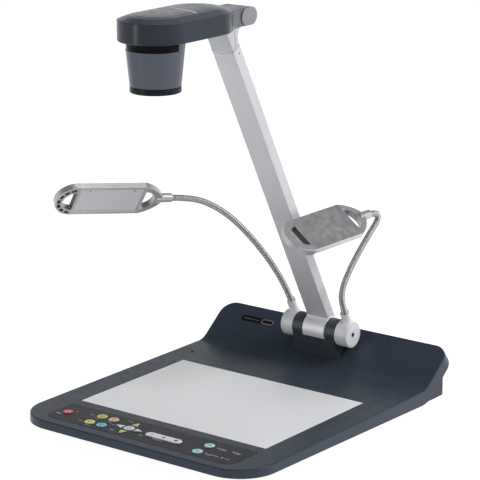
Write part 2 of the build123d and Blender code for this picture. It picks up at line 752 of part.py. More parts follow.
def barrel_radius(z):
    """Outer radius of the tapered lens skirt at height z."""
    share = (z - BARREL_LOW_Z) / (HEAD_BOTTOM_Z - BARREL_LOW_Z)
    return BARREL_LOW_R + (BARREL_TOP_R - BARREL_LOW_R) * share


def lens_barrel():
    """Tapered lens skirt; the front half of its upper edge is cut back around a dark band."""
    height = HEAD_BOTTOM_Z - BARREL_LOW_Z
    middle = Pos(0, LENS_Y, BARREL_LOW_Z + height / 2)
    skin = middle * Cone(BARREL_LOW_R, BARREL_TOP_R, height)
    flange = z_cylinder(40.0, 0, LENS_Y, HEAD_BOTTOM_Z + 2.5, HEAD_BOTTOM_Z + 4.5)
    skin += z_cylinder(BARREL_TOP_R, 0, LENS_Y, HEAD_BOTTOM_Z, HEAD_BOTTOM_Z + 4.5) + flange
    skin -= middle * Cone(BARREL_LOW_R - 2.0, BARREL_TOP_R - 2.0, height)
    skin -= z_cylinder(BARREL_TOP_R - 2.0, 0, LENS_Y, HEAD_BOTTOM_Z - 0.1, HEAD_BOTTOM_Z + 6)
    return skin - span_box(-45, 45, LENS_Y - 45, LENS_Y, WINDOW_LOW_Z, HEAD_BOTTOM_Z - 0.2)


def lens_ring():
    """Turned ring at the lens opening, with four index notches."""
    ring = z_cylinder(BARREL_LOW_R, 0, LENS_Y, RING_LOW_Z, BARREL_LOW_Z - 0.3)
    ring = chamfer(ring.edges(), 0.6)
    ring -= z_cylinder(27.0, 0, LENS_Y, RING_LOW_Z - 1, RING_LOW_Z + 3)
    ring -= z_cylinder(25.0, 0, LENS_Y, RING_LOW_Z, BARREL_LOW_Z + 1)
    ring += z_cylinder(29.0, 0, LENS_Y, BARREL_LOW_Z - 0.3, BARREL_LOW_Z + 4)
    ring -= z_cylinder(27.6, 0, LENS_Y, BARREL_LOW_Z - 0.3, BARREL_LOW_Z + 5)
    for quarter in range(4):
        angle = radians(-52.0 + 90.0 * quarter)
        notch = Pos(BARREL_LOW_R * cos(angle), LENS_Y + BARREL_LOW_R * sin(angle), RING_LOW_Z + 4)
        ring -= notch * Rot(0, 0, degrees(angle)) * Box(1.6, 0.9, 6.0)
    return ring


def lens_glass():
    """Clear window that closes the lens opening."""
    return z_cylinder(26.9, 0, LENS_Y, RING_LOW_Z + 1.2, RING_LOW_Z + 2.9)


def camera_module():
    """Zoom camera inside the skirt, with the dark window band that fills the skirt's cut-back."""
    sleeve = z_cylinder(32.4, 0, LENS_Y, WINDOW_LOW_Z - 3, HEAD_BOTTOM_Z + 16)
    tube = z_cylinder(22.0, 0, LENS_Y, RING_LOW_Z + 8, WINDOW_LOW_Z - 3)
    dish = z_cylinder(17.0, 0, LENS_Y, RING_LOW_Z + 7, RING_LOW_Z + 14)
    dome = Pos(0, LENS_Y, RING_LOW_Z + 36) * Sphere(26.0)
    dome &= z_cylinder(16.9, 0, LENS_Y, RING_LOW_Z + 9, RING_LOW_Z + 20)
    band_low = WINDOW_LOW_Z + 0.2
    band_high = HEAD_BOTTOM_Z - 0.4
    band = Pos(0, LENS_Y, (band_low + band_high) / 2) * Cone(
        barrel_radius(band_low) - 1.0, barrel_radius(band_high) - 1.0, band_high - band_low
    )
    band &= span_box(-45, 45, LENS_Y - 45, LENS_Y - 0.2, band_low, band_high)
    return sleeve + tube - dish + dome + band


# ---- Lamps on their bendable necks. Each neck's route is its centre line's corners. ----
LEFT_ROUTE = [
    (-44.2, 221.2, 85.0),
    (-47.5, 213.5, 108.0),
    (-60.0, 199.0, 145.0),
    (-77.0, 177.5, 184.0),
    (-98.0, 150.0, 222.5),
    (-120.0, 122.5, 246.5),
    (-140.9, 100.0, 253.4),
    (-159.1, 67.7, 256.5),
]
RIGHT_ROUTE = [
    (44.0, 221.2, 85.0),
    (44.0, 207.5, 110.0),
    (44.5, 205.5, 134.0),
    (48.5, 229.0, 169.5),
    (55.0, 257.0, 203.0),
    (59.0, 271.5, 220.0),
    (59.8, 263.5, 231.6),
    (56.5, 229.0, 230.2),
]
LEFT_BEND = 3
RIGHT_BEND = 2


def turn_at(route, index):
    """Angle, in radians, by which a route turns at one of its inner corners."""
    into = Vector(*route[index]) - Vector(*route[index - 1])
    out = Vector(*route[index + 1]) - Vector(*route[index])
    return radians(into.get_angle(out))


def bend_radius(route, index):
    """Largest round corner that leaves a tenth of the shorter run straight."""
    into = (Vector(*route[index]) - Vector(*route[index - 1])).length
    out = (Vector(*route[index + 1]) - Vector(*route[index])).length
    return 0.45 * min(into, out) / tan(turn_at(route, index) / 2)


def neck_tube(route, first, last, start, end):
    """Round tube along the route's corners first..last, between two end points."""
    corners = [start] + [Vector(*p) for p in route[first : last + 1]] + [end]
    radii = [bend_radius(route, i) for i in range(first, last + 1)]
    path = FilletPolyline(*corners, radius=radii)
    section = Plane(origin=path @ 0, z_dir=path % 0) * Circle(NECK_R)
    return sweep(section, path=path)


def neck_joint(route, bend):
    """Centre of the neck's bend joint: the middle of the run after corner `bend`."""
    return (Vector(*route[bend]) + Vector(*route[bend + 1])) * 0.5


def neck_lower(route, bend):
    """Neck from the drum up to the bend joint, ending in a ball."""
    joint = neck_joint(route, bend)
    tube = neck_tube(route, 1, bend, Vector(*route[0]), joint)
    return tube + Pos(*joint) * Sphere(NECK_R)


def neck_upper(route, bend):
    """Neck from the bend joint to the lamp, hollowed to sit round the ball."""
    joint = neck_joint(route, bend)
    last = len(route) - 1
    tube = neck_tube(route, bend + 1, last - 1, joint, Vector(*route[last]))
    return tube - Pos(*joint) * Sphere(NECK_R + NECK_JOINT_GAP)


FERRULE_LENGTH = 18.0
FERRULE_R = 6.4


def lamp_drum(side, route):
    """Outer hinge drum with the raised socket that grips the neck."""
    inner = side * (KNUCKLE_END_X + FIT)
    outer = side * (DRUM_END_X - 1.2)
    drum = x_cylinder(HINGE_R, inner, outer, HINGE_Y, HINGE_Z)
    drum = chamfer(drum.edges().filter_by(GeomType.CIRCLE), 0.6)
    start = Vector(*route[0])
    aim = (Vector(*route[1]) - start).normalized()
    socket_plane = Plane(origin=start - aim * 6.0, x_dir=(1, 0, 0), z_dir=aim)
    foot = socket_plane * Pos(0, 0, 4) * Cone(FERRULE_R + 1.8, FERRULE_R, 8)
    sleeve = socket_plane * Pos(0, 0, FERRULE_LENGTH / 2 + 3) * Cylinder(FERRULE_R, FERRULE_LENGTH)
    stop_pin = socket_plane * Pos(0, FERRULE_R - 0.2, FERRULE_LENGTH + 2.5) * Box(2.4, 2.4, 5.0)
    drum = drum + foot + sleeve + stop_pin
    bore = socket_plane * Pos(0, 0, 30) * Cylinder(NECK_R + PIN_FIT, 48)
    drum -= bore
    return drum - x_cylinder(SHAFT_R + PIN_FIT, inner - side, side * (DRUM_END_X - 3.8), HINGE_Y, HINGE_Z)


def drum_cap(side):
    """Round end plate of the drum, with the screw hole in its middle."""
    plate = x_cylinder(HINGE_R - 0.4, side * (DRUM_END_X - 1.1), side * DRUM_END_X, HINGE_Y, HINGE_Z)
    return plate - x_cylinder(2.2, side * (DRUM_END_X - 3), side * (DRUM_END_X + 1), HINGE_Y, HINGE_Z)


LAMP_SOCKET_X = 90.0
NECK_END_X = 71.0
LEFT_BACK = (-0.652, 0.426, 0.627)
RIGHT_BACK = (0.566, -0.086, 0.820)


def lamp_place(route, back):
    """The lamp's own frame: X runs out along the neck's end, Z points out of the lamp's back."""
    end = Vector(*route[-1])
    along = (Vector(*route[-2]) - end).normalized()
    across = Vector(*back).cross(along)
    return Plane(origin=end - along * NECK_END_X, x_dir=along, z_dir=along.cross(across))


def lamp_body():
    """Flat lamp housing, open towards the diffuser."""
    half_l = LAMP_LENGTH / 2
    half_w = LAMP_WIDTH / 2
    half_t = LAMP_THICK / 2
    body = span_box(-half_l, half_l, -half_w, half_w, -half_t, half_t)
    body = chamfer(body.edges().filter_by(Axis.X), 0.6)
    return body - span_box(-half_l + 2, half_l - 2, -half_w + 3, half_w - 3, -half_t - 1, half_t - 1.6)


def cap_loop(outline, thick):
    """End loop of a lamp: a rounded frame with a half-round opening."""
    loop = Pos(0, 0, -thick / 2) * extrude(outline, amount=thick)
    loop = chamfer(loop.edges().group_by(Axis.Z)[0] + loop.edges().group_by(Axis.Z)[-1], 0.6)
    start = LAMP_LENGTH / 2 + 2.0
    hole = Pos(LAMP_LENGTH / 2, 0) * Circle(LAMP_HOLE_R)
    hole &= Pos(start + 25, 0) * Rectangle(50, 60)
    hole = fillet(hole.vertices(), 1.0)
    loop -= Pos(0, 0, -10) * extrude(hole, amount=20)
    return loop


def lamp_tip_cap():
    """Free end of the lamp, with a ring of cooling slots."""
    start = LAMP_LENGTH / 2 + 0.05
    half_w = LAMP_WIDTH / 2
    outline = Pos(LAMP_LENGTH / 2, 0) * Circle(half_w) & Pos(start + 25, 0) * Rectangle(50, 60)
    loop = cap_loop(outline, LAMP_THICK + 0.8)
    for step in range(7):
        angle = -72.0 + 24.0 * step
        slot = Rot(0, 0, angle) * Pos((half_w + LAMP_HOLE_R) / 2, 0, -LAMP_THICK / 2) * Box(4.6, 7.6, 5.0)
        loop -= Pos(LAMP_LENGTH / 2, 0, 0) * slot
    return Rot(0, 0, 180) * loop


def lamp_neck_cap():
    """Neck end of the lamp: it runs to a point and ends in the neck's socket."""
    start = LAMP_LENGTH / 2 + 0.05
    half_w = LAMP_WIDTH / 2
    point = LAMP_LENGTH / 2 + 29.0
    outline = make_face(
        [
            Line((start, -half_w), (start, half_w)),
            ThreePointArc((start, half_w), (start + 15.5, 20.4), (point, 6.0)),
            Line((point, 6.0), (point, -6.0)),
            ThreePointArc((point, -6.0), (start + 15.5, -20.4), (start, -half_w)),
        ]
    )
    loop = cap_loop(outline, LAMP_THICK + 0.8)
    length = LAMP_SOCKET_X - point + 8
    sleeve = Rot(0, 90, 0) * Cone(FERRULE_R + 0.4, FERRULE_R - 0.4, length)
    bore = Rot(0, 90, 0) * Cylinder(NECK_R + PIN_FIT, LAMP_SOCKET_X - NECK_END_X + 2)
    loop += Pos(LAMP_SOCKET_X - length / 2, 0, 0) * sleeve
    return loop - Pos((LAMP_SOCKET_X + NECK_END_X) / 2, 0, 0) * bore


def lamp_diffuser():
    """Milky plate over the lamp's light emitters."""
    half_t = LAMP_THICK / 2
    x = LAMP_LENGTH / 2 - 2.2
    y = LAMP_WIDTH / 2 - 3.2
    return span_box(-x, x, -y, y, -half_t + 0.4, -half_t + 2.0)


def lamp_led_board():
    """Circuit board with two rows of light emitters."""
    half_t = LAMP_THICK / 2
    board = span_box(-42, 42, -22, 22, half_t - 2.8, half_t - 1.7)
    for row in (-11, 11):
        for column in range(8):
            x = -35 + 10 * column
            board += span_box(x - 1.7, x + 1.7, row - 1.7, row + 1.7, half_t - 3.6, half_t - 2.7)
    return board


# ---- The nodes ----
NODES = {
    "base_shell": base_shell,
    "bottom_cover": bottom_cover,
    "cover_screws": cover_screws,
    "rear_housing": rear_housing,
    "main_board": main_board,
    "power_inlet": power_inlet,
    "av_sockets": av_sockets,
    "feet_front": feet_front,
    "feet_rear": feet_rear,
    "stage_glass": stage_glass,
    "light_guide": light_guide,
    "led_strips": led_strips,
    "panel_overlay": panel_overlay,
    "key_board": key_board,
    "hinge_bracket": hinge_bracket,
    "hinge_shaft": hinge_shaft,
    "badge": badge,
    "sensor_window": sensor_window,
    "arm_barrel": arm_barrel,
    "arm_tube": arm_tube,
    "arm_neck": arm_neck,
    "head_housing": head_housing,
    "head_top_cap": head_top_cap,
    "head_tail": head_tail,
    "pivot_caps": pivot_caps,
    "lens_barrel": lens_barrel,
    "lens_ring": lens_ring,
    "lens_glass": lens_glass,
    "camera_module": camera_module,
    "key_zoom_rocker": zoom_rocker,
}

LAMP_PIECES = {
    "lamp_body": lamp_body,
    "lamp_tip_cap": lamp_tip_cap,
    "lamp_neck_cap": lamp_neck_cap,
    "lamp_diffuser": lamp_diffuser,
    "lamp_led_board": lamp_led_board,
}


def lamp_nodes(label, side, route, bend, place):
    """All pieces of one lamp: drum, neck and the lamp itself."""
    pieces = {
        "lamp_drum_" + label: lamp_drum(side, route),
        "drum_cap_" + label: drum_cap(side),
        "neck_lower_" + label: neck_lower(route, bend),
        "neck_upper_" + label: neck_upper(route, bend),
    }
    for name, make in LAMP_PIECES.items():
        pieces[name + "_" + label] = place * make()
    return pieces


def main():
    os.makedirs("parts", exist_ok=True)
    solids = {name: make() for name, make in NODES.items()}
    for name in KEY_NAMES[:-1]:
        solids[name] = key(name)
    left_place = lamp_place(LEFT_ROUTE, LEFT_BACK)
    right_place = lamp_place(RIGHT_ROUTE, RIGHT_BACK)
    solids.update(lamp_nodes("left", -1, LEFT_ROUTE, LEFT_BEND, left_place))
    solids.update(lamp_nodes("right", 1, RIGHT_ROUTE, RIGHT_BEND, right_place))
    for name, solid in solids.items():
        export_step(Pos(*FRAME_SHIFT) * solid, "parts/" + name + ".step")
    print(len(solids), "nodes")


if __name__ == "__main__":
    main()
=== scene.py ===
import math

import bmesh
import bpy
from mathutils import Matrix, Vector


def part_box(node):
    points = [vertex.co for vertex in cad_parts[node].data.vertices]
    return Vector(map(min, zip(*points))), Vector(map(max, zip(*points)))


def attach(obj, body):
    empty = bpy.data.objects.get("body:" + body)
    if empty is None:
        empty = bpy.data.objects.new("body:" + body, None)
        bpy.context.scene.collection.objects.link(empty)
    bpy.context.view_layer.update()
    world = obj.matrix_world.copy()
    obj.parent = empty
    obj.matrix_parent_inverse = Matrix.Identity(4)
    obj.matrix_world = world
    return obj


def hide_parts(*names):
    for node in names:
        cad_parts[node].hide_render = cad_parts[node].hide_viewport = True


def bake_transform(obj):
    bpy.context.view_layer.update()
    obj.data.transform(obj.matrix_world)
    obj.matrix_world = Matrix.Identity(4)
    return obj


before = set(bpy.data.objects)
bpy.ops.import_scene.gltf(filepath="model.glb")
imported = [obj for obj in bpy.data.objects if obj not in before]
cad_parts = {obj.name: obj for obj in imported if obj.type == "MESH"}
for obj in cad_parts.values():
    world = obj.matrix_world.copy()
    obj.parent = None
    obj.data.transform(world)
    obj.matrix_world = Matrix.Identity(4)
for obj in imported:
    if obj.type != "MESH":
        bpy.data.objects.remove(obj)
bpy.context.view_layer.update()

# Sizes below are in millimetres, measured from the stage's centre, as the CAD parts are drawn.
# SHIFT is where the stage's centre lies in the row frame.
MM = 0.001
stage_low, stage_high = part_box("stage_glass")
SHIFT = Vector(((stage_low[0] + stage_high[0]) / 2, (stage_low[1] + stage_high[1]) / 2, 0.0)) / MM

DECK_Z = 22.0
STAGE_TOP_Z = 21.9
STAGE_HALF_W = 148.5
STAGE_HALF_D = 106.0
PANEL_Z = 22.2
KEY_Z = 23.2
RAMP_ANGLE = math.radians(38.0)
RAMP_START_Y = 188.0
RAMP_BEND_R = 28.0
HINGE_Y = 220.2
HINGE_Z = 67.1
LENS_Y = -129.0
ARM_LEAN = math.radians(28.1)
ARM_FOOT = (220.1, 72.0)
ARM_HALF_W = 17.2
NECK_R = 4.5
LAMP_HALF_L = 46.25
LAMP_FACE_Z = -4.3
LAMP_NECK_X = 71.0
HEAD_TAIL_Y = -53.0
HEAD_CROWN = ((45.5, 537.0), (32.5, 541.8), (23.5, 543.2), (13.5, 543.8))
LABEL_RISE = 0.02
SOCKET_REAR_Y = 250.6

LEFT_ROUTE = [
    (-44.2, 221.2, 85.0), (-47.5, 213.5, 108.0), (-60.0, 199.0, 145.0), (-77.0, 177.5, 184.0),
    (-98.0, 150.0, 222.5), (-120.0, 122.5, 246.5), (-140.9, 100.0, 253.4), (-159.1, 67.7, 256.5),
]
RIGHT_ROUTE = [
    (44.0, 221.2, 85.0), (44.0, 207.5, 110.0), (44.5, 205.5, 134.0), (48.5, 229.0, 169.5),
    (55.0, 257.0, 203.0), (59.0, 271.5, 220.0), (59.8, 263.5, 231.6), (56.5, 229.0, 230.2),
]
LEFT_BACK = (-0.652, 0.426, 0.627)
RIGHT_BACK = (0.566, -0.086, 0.820)


def row(x, y, z):
    """A point in millimetres from the stage's centre, as metres in the row frame."""
    return (Vector((x, y, z)) + SHIFT) * MM


def placed(origin, x_dir, z_dir):
    """Matrix that puts millimetre shapes at a place, turned to two directions, in metres."""
    x_axis = Vector(x_dir).normalized()
    z_axis = Vector(z_dir).normalized()
    y_axis = z_axis.cross(x_axis).normalized()
    x_axis = y_axis.cross(z_axis)
    turn = Matrix((x_axis, y_axis, z_axis)).transposed().to_4x4()
    return Matrix.Translation(row(*origin)) @ turn @ Matrix.Scale(MM, 4)


# ---- Materials ----
class Nodes:
    """Short calls for building one material's node tree."""

    def __init__(self, name):
        self.material = bpy.data.materials.new(name)
        self.material.use_nodes = True
        self.tree = self.material.node_tree
        self.tree.nodes.clear()
        self.output = self.add("ShaderNodeOutputMaterial")
        self.shader = self.add("ShaderNodeBsdfPrincipled")
        self.link(self.shader.outputs[0], self.output.inputs["Surface"])
        self.place = self.add("ShaderNodeTexCoord").outputs["Object"]

    def add(self, kind, **values):
        node = self.tree.nodes.new(kind)
        for key, value in values.items():
            setattr(node, key, value)
        return node

    def link(self, start, end):
        self.tree.links.new(start, end)

    def noise(self, scale, detail=3.0, stretch=None, turn=None):
        """Noise by place in the row frame; stretch and turn give it a grain direction."""
        place = self.place
        if stretch:
            mapping = self.add("ShaderNodeMapping", vector_type="TEXTURE")
            if turn:
                mapping.inputs["Rotation"].default_value = turn
            mapping.inputs["Scale"].default_value = stretch
            self.link(place, mapping.inputs["Vector"])
            place = mapping.outputs[0]
        node = self.add("ShaderNodeTexNoise")
        node.inputs["Scale"].default_value = scale
        node.inputs["Detail"].default_value = detail
        self.link(place, node.inputs["Vector"])
        return node.outputs["Fac"]

    def remap(self, value, low, high, start=0.3, end=0.7):
        node = self.add("ShaderNodeMapRange")
        node.inputs["From Min"].default_value = start
        node.inputs["From Max"].default_value = end
        node.inputs["To Min"].default_value = low
        node.inputs["To Max"].default_value = high
        self.link(value, node.inputs["Value"])
        return node.outputs["Result"]

    def mix(self, factor, first, second):
        node = self.add("ShaderNodeMix", data_type="RGBA")
        self.link(factor, node.inputs["Factor"])
        for value, socket in ((first, node.inputs[6]), (second, node.inputs[7])):
            if isinstance(value, bpy.types.NodeSocket):
                self.link(value, socket)
            else:
                socket.default_value = (*value, 1.0)
        return node.outputs[2]

    def math(self, operation, first, second):
        node = self.add("ShaderNodeMath", operation=operation)
        for value, socket in ((first, node.inputs[0]), (second, node.inputs[1])):
            if isinstance(value, bpy.types.NodeSocket):
                self.link(value, socket)
            else:
                socket.default_value = value
        return node.outputs[0]

    def edges(self, radius):
        """(rounded normal, share of edge) from a small bevel of the given radius in metres."""
        bevel = self.add("ShaderNodeBevel", samples=4)
        bevel.inputs["Radius"].default_value = radius
        geometry = self.add("ShaderNodeNewGeometry")
        dot = self.add("ShaderNodeVectorMath", operation="DOT_PRODUCT")
        self.link(bevel.outputs[0], dot.inputs[0])
        self.link(geometry.outputs["Normal"], dot.inputs[1])
        return bevel.outputs[0], self.remap(dot.outputs["Value"], 1.0, 0.0, 0.75, 0.99)

    def bump(self, height, strength, distance, normal=None):
        node = self.add("ShaderNodeBump")
        node.inputs["Strength"].default_value = strength
        node.inputs["Distance"].default_value = distance
        self.link(height, node.inputs["Height"])
        if normal:
            self.link(normal, node.inputs["Normal"])
        return node.outputs[0]


def tint(color, factor):
    return tuple(min(1.0, c * factor) for c in color)


def surface(name, color, roughness, metallic=0.0, mottle=0.05, mottle_scale=30.0, grain=0.2,
            grain_scale=2600.0, grain_depth=0.00004, rough_change=0.05, edge=0.25, radius=0.0004,
            coat=0.0, specular=0.5, stretch=None, turn=None, brushed=0.0):
    """A finished surface: uneven colour, moulded or brushed grain, uneven gloss, and lighter, rougher edges
    that are partly wear and partly a painted highlight.
    """
    n = Nodes(name)
    shader = n.shader
    shader.inputs["Metallic"].default_value = metallic
    shader.inputs["Specular IOR Level"].default_value = specular
    shader.inputs["Coat Weight"].default_value = coat
    shader.inputs["Coat Roughness"].default_value = 0.12
    patches = n.noise(mottle_scale)
    base = n.mix(n.remap(patches, 0, 1), tint(color, 1 - mottle), tint(color, 1 + mottle))
    specks = n.noise(grain_scale, 2.0)
    height = specks
    if brushed:
        lines = n.noise(900.0, 4.0, stretch, turn)
        base = n.mix(n.remap(lines, 0, brushed), base, tint(color, 0.55))
        height = n.math("ADD", n.math("MULTIPLY", lines, 0.8), n.math("MULTIPLY", specks, 0.2))
    normal, wear_and_highlight = n.edges(radius)
    # Edges are lightened here: partly wear, partly a painted highlight along the rims.
    base = n.mix(n.math("MULTIPLY", wear_and_highlight, edge), base, tint(color, 1.5))
    n.link(base, shader.inputs["Base Color"])
    rough = n.remap(n.noise(mottle_scale * 3.3), roughness - rough_change, roughness + rough_change)
    rough = n.math("ADD", rough, n.math("MULTIPLY", wear_and_highlight, 0.06))
    n.link(rough, shader.inputs["Roughness"])
    n.link(n.bump(height, grain, grain_depth, normal), shader.inputs["Normal"])
    return n.material


SLATE = (0.036, 0.048, 0.067)
deck_paint = surface("deck_paint", SLATE, 0.34, grain=0.04, grain_scale=3000, mottle=0.04, edge=0.35,
                     radius=0.0006,
                     specular=0.14)
housing_plastic = surface("housing_plastic", (0.012, 0.014, 0.017), 0.5, grain=0.4, grain_scale=1800)
screw_steel = surface("screw_steel", (0.42, 0.43, 0.45), 0.32, metallic=1.0, grain=0.1, radius=0.0002)
circuit_board = surface("circuit_board", (0.01, 0.07, 0.03), 0.35, mottle=0.25, mottle_scale=300, grain=0.1)
socket_plastic = surface("socket_plastic", (0.012, 0.012, 0.014), 0.42, grain=0.3)
foot_rubber = surface("foot_rubber", (0.012, 0.012, 0.012), 0.8, grain=0.5, grain_scale=1500,
                      grain_depth=0.0001)
stage_plate = surface("stage_plate", (0.81, 0.815, 0.84), 0.35, mottle=0.012, mottle_scale=8, grain=0.01,
                      grain_scale=4000, edge=0.6, radius=0.0007)
# Lighter white of the stage's border: partly a printed frame, partly a painted reflection of the bevelled
# glass edge.
stage_frame_and_sheen = surface("stage_frame_and_sheen", (0.92, 0.92, 0.93), 0.25, mottle=0.02, grain=0.04)
clear_acrylic = surface("clear_acrylic", (0.78, 0.84, 0.86), 0.15, mottle=0.02, grain=0.05)
led_strip_white = surface("led_strip_white", (0.8, 0.76, 0.62), 0.4, mottle=0.2, mottle_scale=200)
panel_facing = surface("panel_facing", (0.018, 0.019, 0.027), 0.3, specular=0.08, mottle=0.04, grain=0.03,
                       edge=0.5, radius=0.0002)
hinge_dark = surface("hinge_dark", (0.04, 0.046, 0.06), 0.36, grain=0.06, edge=0.3)
shaft_steel = surface("shaft_steel", (0.45, 0.46, 0.48), 0.3, metallic=1.0, grain=0.1)
badge_black = surface("badge_black", (0.004, 0.004, 0.005), 0.22, grain=0.05, edge=0.6, radius=0.0002)
badge_grey = surface("badge_grey", (0.22, 0.225, 0.25), 0.35, metallic=0.4, grain=0.05)
window_black = surface("window_black", (0.002, 0.002, 0.002), 0.12, grain=0.01, edge=0.0, specular=0.03)
barrel_silver = surface("barrel_silver", (0.88, 0.885, 0.9), 0.36, metallic=0.25, grain=0.05, mottle=0.03,
                        edge=0.3)
arm_silver = surface("arm_silver", (0.48, 0.485, 0.505), 0.42, metallic=0.2, grain=0.06, mottle=0.025,
                     mottle_scale=12, edge=0.3, radius=0.0005)
neck_silver = surface("neck_silver", (0.42, 0.425, 0.445), 0.4, metallic=0.25, grain=0.06, mottle=0.025,
                      edge=0.3)
head_slate = surface("head_slate", (0.021, 0.026, 0.038), 0.25, grain=0.03, mottle=0.04, edge=0.35,
                     radius=0.0006,
                     specular=0.2)
head_top_paint = surface("head_top_paint", (0.055, 0.065, 0.09), 0.3, metallic=0.0, grain=0.02,
                         specular=0.3, mottle=0.04, edge=0.4,
                         radius=0.0006)
tail_grey = surface("tail_grey", (0.10, 0.105, 0.12), 0.34, metallic=0.25, grain=0.06, mottle=0.04,
                    edge=0.3)
pivot_grey = surface("pivot_grey", (0.2, 0.205, 0.22), 0.36, metallic=0.3, grain=0.15, edge=0.4)
skirt_metal = surface("skirt_metal", (0.07, 0.078, 0.098), 0.2, metallic=0.8, grain=0.03, mottle=0.04,
                      edge=0.4,
                      specular=0.6)
ring_metal = surface("ring_metal", (0.008, 0.011, 0.017), 0.25, grain=0.03, edge=0.4, specular=0.1)
camera_black = surface("camera_black", (0.003, 0.003, 0.003), 0.16, grain=0.02, mottle=0.2, edge=0.2,
                       specular=0.06)
lens_coating = surface("lens_coating", (0.01, 0.012, 0.035), 0.06, coat=1.0, mottle=0.5, mottle_scale=60,
                       grain=0.0)
drum_silver = surface("drum_silver", (0.72, 0.725, 0.74), 0.4, metallic=0.1, grain=0.06, mottle=0.04,
                      mottle_scale=60, edge=0.35)
neck_metal = surface("neck_metal", (0.36, 0.365, 0.38), 0.3, metallic=0.8, grain=0.05, mottle=0.08,
                     mottle_scale=150,
                     edge=0.2, radius=0.0002)
lamp_end_silver = surface("lamp_end_silver", (0.46, 0.465, 0.48), 0.32, metallic=0.6, grain=0.05,
                          mottle=0.03, edge=0.4)
vent_black = surface("vent_black", (0.004, 0.004, 0.004), 0.6, grain=0.2)
lamp_inner_dark = surface("lamp_inner_dark", (0.03, 0.031, 0.034), 0.5, grain=0.3, mottle=0.2,
                          mottle_scale=400)
diffuser_plastic = surface("diffuser_plastic", (0.52, 0.525, 0.54), 0.3, mottle=0.006, mottle_scale=20,
                           grain=0.01,
                           rough_change=0.01)
seam_dark = surface("seam_dark", (0.16, 0.16, 0.17), 0.5, grain=0.1)
label_grey = surface("label_grey", (0.6, 0.61, 0.64), 0.4, grain=0.02)
mark_white = surface("mark_white", (0.62, 0.63, 0.68), 0.45, grain=0.05)
# Dark ink for printed marks and dark joints, also used as painted shade in the screws' cross recesses.
dark_print_and_shade = surface("dark_print_and_shade", (0.02, 0.022, 0.03), 0.4, grain=0.05)
mark_blue = surface("mark_blue", (0.012, 0.028, 0.16), 0.4, grain=0.05)


def key_plastic(name, color):
    return surface(name, color, 0.3, mottle=0.04, mottle_scale=300, grain=0.1, edge=0.25, radius=0.0003)


key_red = key_plastic("key_red", (0.62, 0.015, 0.05))
key_lime = key_plastic("key_lime", (0.55, 0.58, 0.12))
key_beige = key_plastic("key_beige", (0.72, 0.53, 0.38))
key_yellow = key_plastic("key_yellow", (0.72, 0.66, 0.2))
key_blue = key_plastic("key_blue", (0.18, 0.5, 0.66))
key_white = key_plastic("key_white", (0.72, 0.73, 0.78))
key_teal = key_plastic("key_teal", (0.42, 0.68, 0.70))


def glass_material():
    """Thin clear window with a light coating."""
    n = Nodes("lens_window")
    shader = n.shader
    shader.inputs["Base Color"].default_value = (0.6, 0.66, 0.75, 1)
    shader.inputs["Alpha"].default_value = 0.28
    shader.inputs["Coat Weight"].default_value = 0.6
    n.link(n.remap(n.noise(120.0), 0.03, 0.08), shader.inputs["Roughness"])
    return n.material


def light_material(name, color, strength):
    """A small indicator light with a faintly mottled colour."""
    n = Nodes(name)
    shader = n.shader
    shader.inputs["Emission Strength"].default_value = strength
    n.link(n.mix(n.remap(n.noise(900.0), 0, 1), color, tint(color, 0.8)), shader.inputs["Emission Color"])
    n.link(n.mix(n.remap(n.noise(900.0), 0, 1), color, tint(color, 0.9)), shader.inputs["Base Color"])
    n.link(n.remap(n.noise(500.0), 0.2, 0.35), shader.inputs["Roughness"])
    return n.material


lens_window = glass_material()
light_white = light_material("light_white", (0.8, 0.82, 0.9), 0.25)
light_pink = light_material("light_pink", (0.85, 0.25, 0.45), 0.35)


def brushed_lamp(name, turn):
    """Aluminium brushed along a lamp, whose turn is given as an Euler rotation."""
    return surface(name, (0.58, 0.585, 0.605), 0.36, metallic=0.9, grain=0.35, grain_depth=0.00003,
                   mottle=0.04,
                   edge=0.5, radius=0.0005, stretch=(30.0, 1.0, 1.0), turn=turn, brushed=0.25)


# ---- Mesh helpers: every shape is built in millimetres and placed by a matrix ----
def new_piece(name, bm, matrix, material, body, smooth=True, bevel=0.0, segments=2):
    """Turns a bmesh into a piece that rides on a body."""
    bmesh.ops.recalc_face_normals(bm, faces=bm.faces)
    bm.transform(matrix)
    mesh = bpy.data.meshes.new(name)
    bm.to_mesh(mesh)
    bm.free()
    piece = bpy.data.objects.new(name, mesh)
    bpy.context.scene.collection.objects.link(piece)
    mesh.materials.append(material)
    if smooth:
        mesh.polygons.foreach_set("use_smooth", [True] * len(mesh.polygons))
        mesh.set_sharp_from_angle(angle=math.radians(35))
    if bevel:
        cut = piece.modifiers.new("bevel", "BEVEL")
        cut.width = bevel * MM
        cut.segments = segments
        cut.limit_method = "ANGLE"
    if body:
        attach(piece, body)
    return piece


def circle(radius, count=40, x=0.0, y=0.0, start=0.0, end=2 * math.pi):
    step = (end - start) / count
    angles = [start + step * i for i in range(count)]
    return [(x + radius * math.cos(angle), y + radius * math.sin(angle)) for angle in angles]


def rounded_box(width, depth, radius, x=0.0, y=0.0, count=6):
    """Corner points of a rectangle with round corners."""
    points = []
    for quarter, (sx, sy) in enumerate(((1, 1), (-1, 1), (-1, -1), (1, -1))):
        cx = x + sx * (width / 2 - radius)
        cy = y + sy * (depth / 2 - radius)
        for step in range(count + 1):
            angle = math.pi / 2 * (quarter + step / count)
            points.append((cx + radius * math.cos(angle), cy + radius * math.sin(angle)))
    return points


def prism(bm, outline, z0, z1):
    """Closed block over an outline."""
    low = [bm.verts.new((x, y, z0)) for x, y in outline]
    top = [bm.verts.new((x, y, z1)) for x, y in outline]
    bm.faces.new(low[::-1])
    bm.faces.new(top)
    for i in range(len(low)):
        j = (i + 1) % len(low)
        bm.faces.new((low[i], low[j], top[j], top[i]))


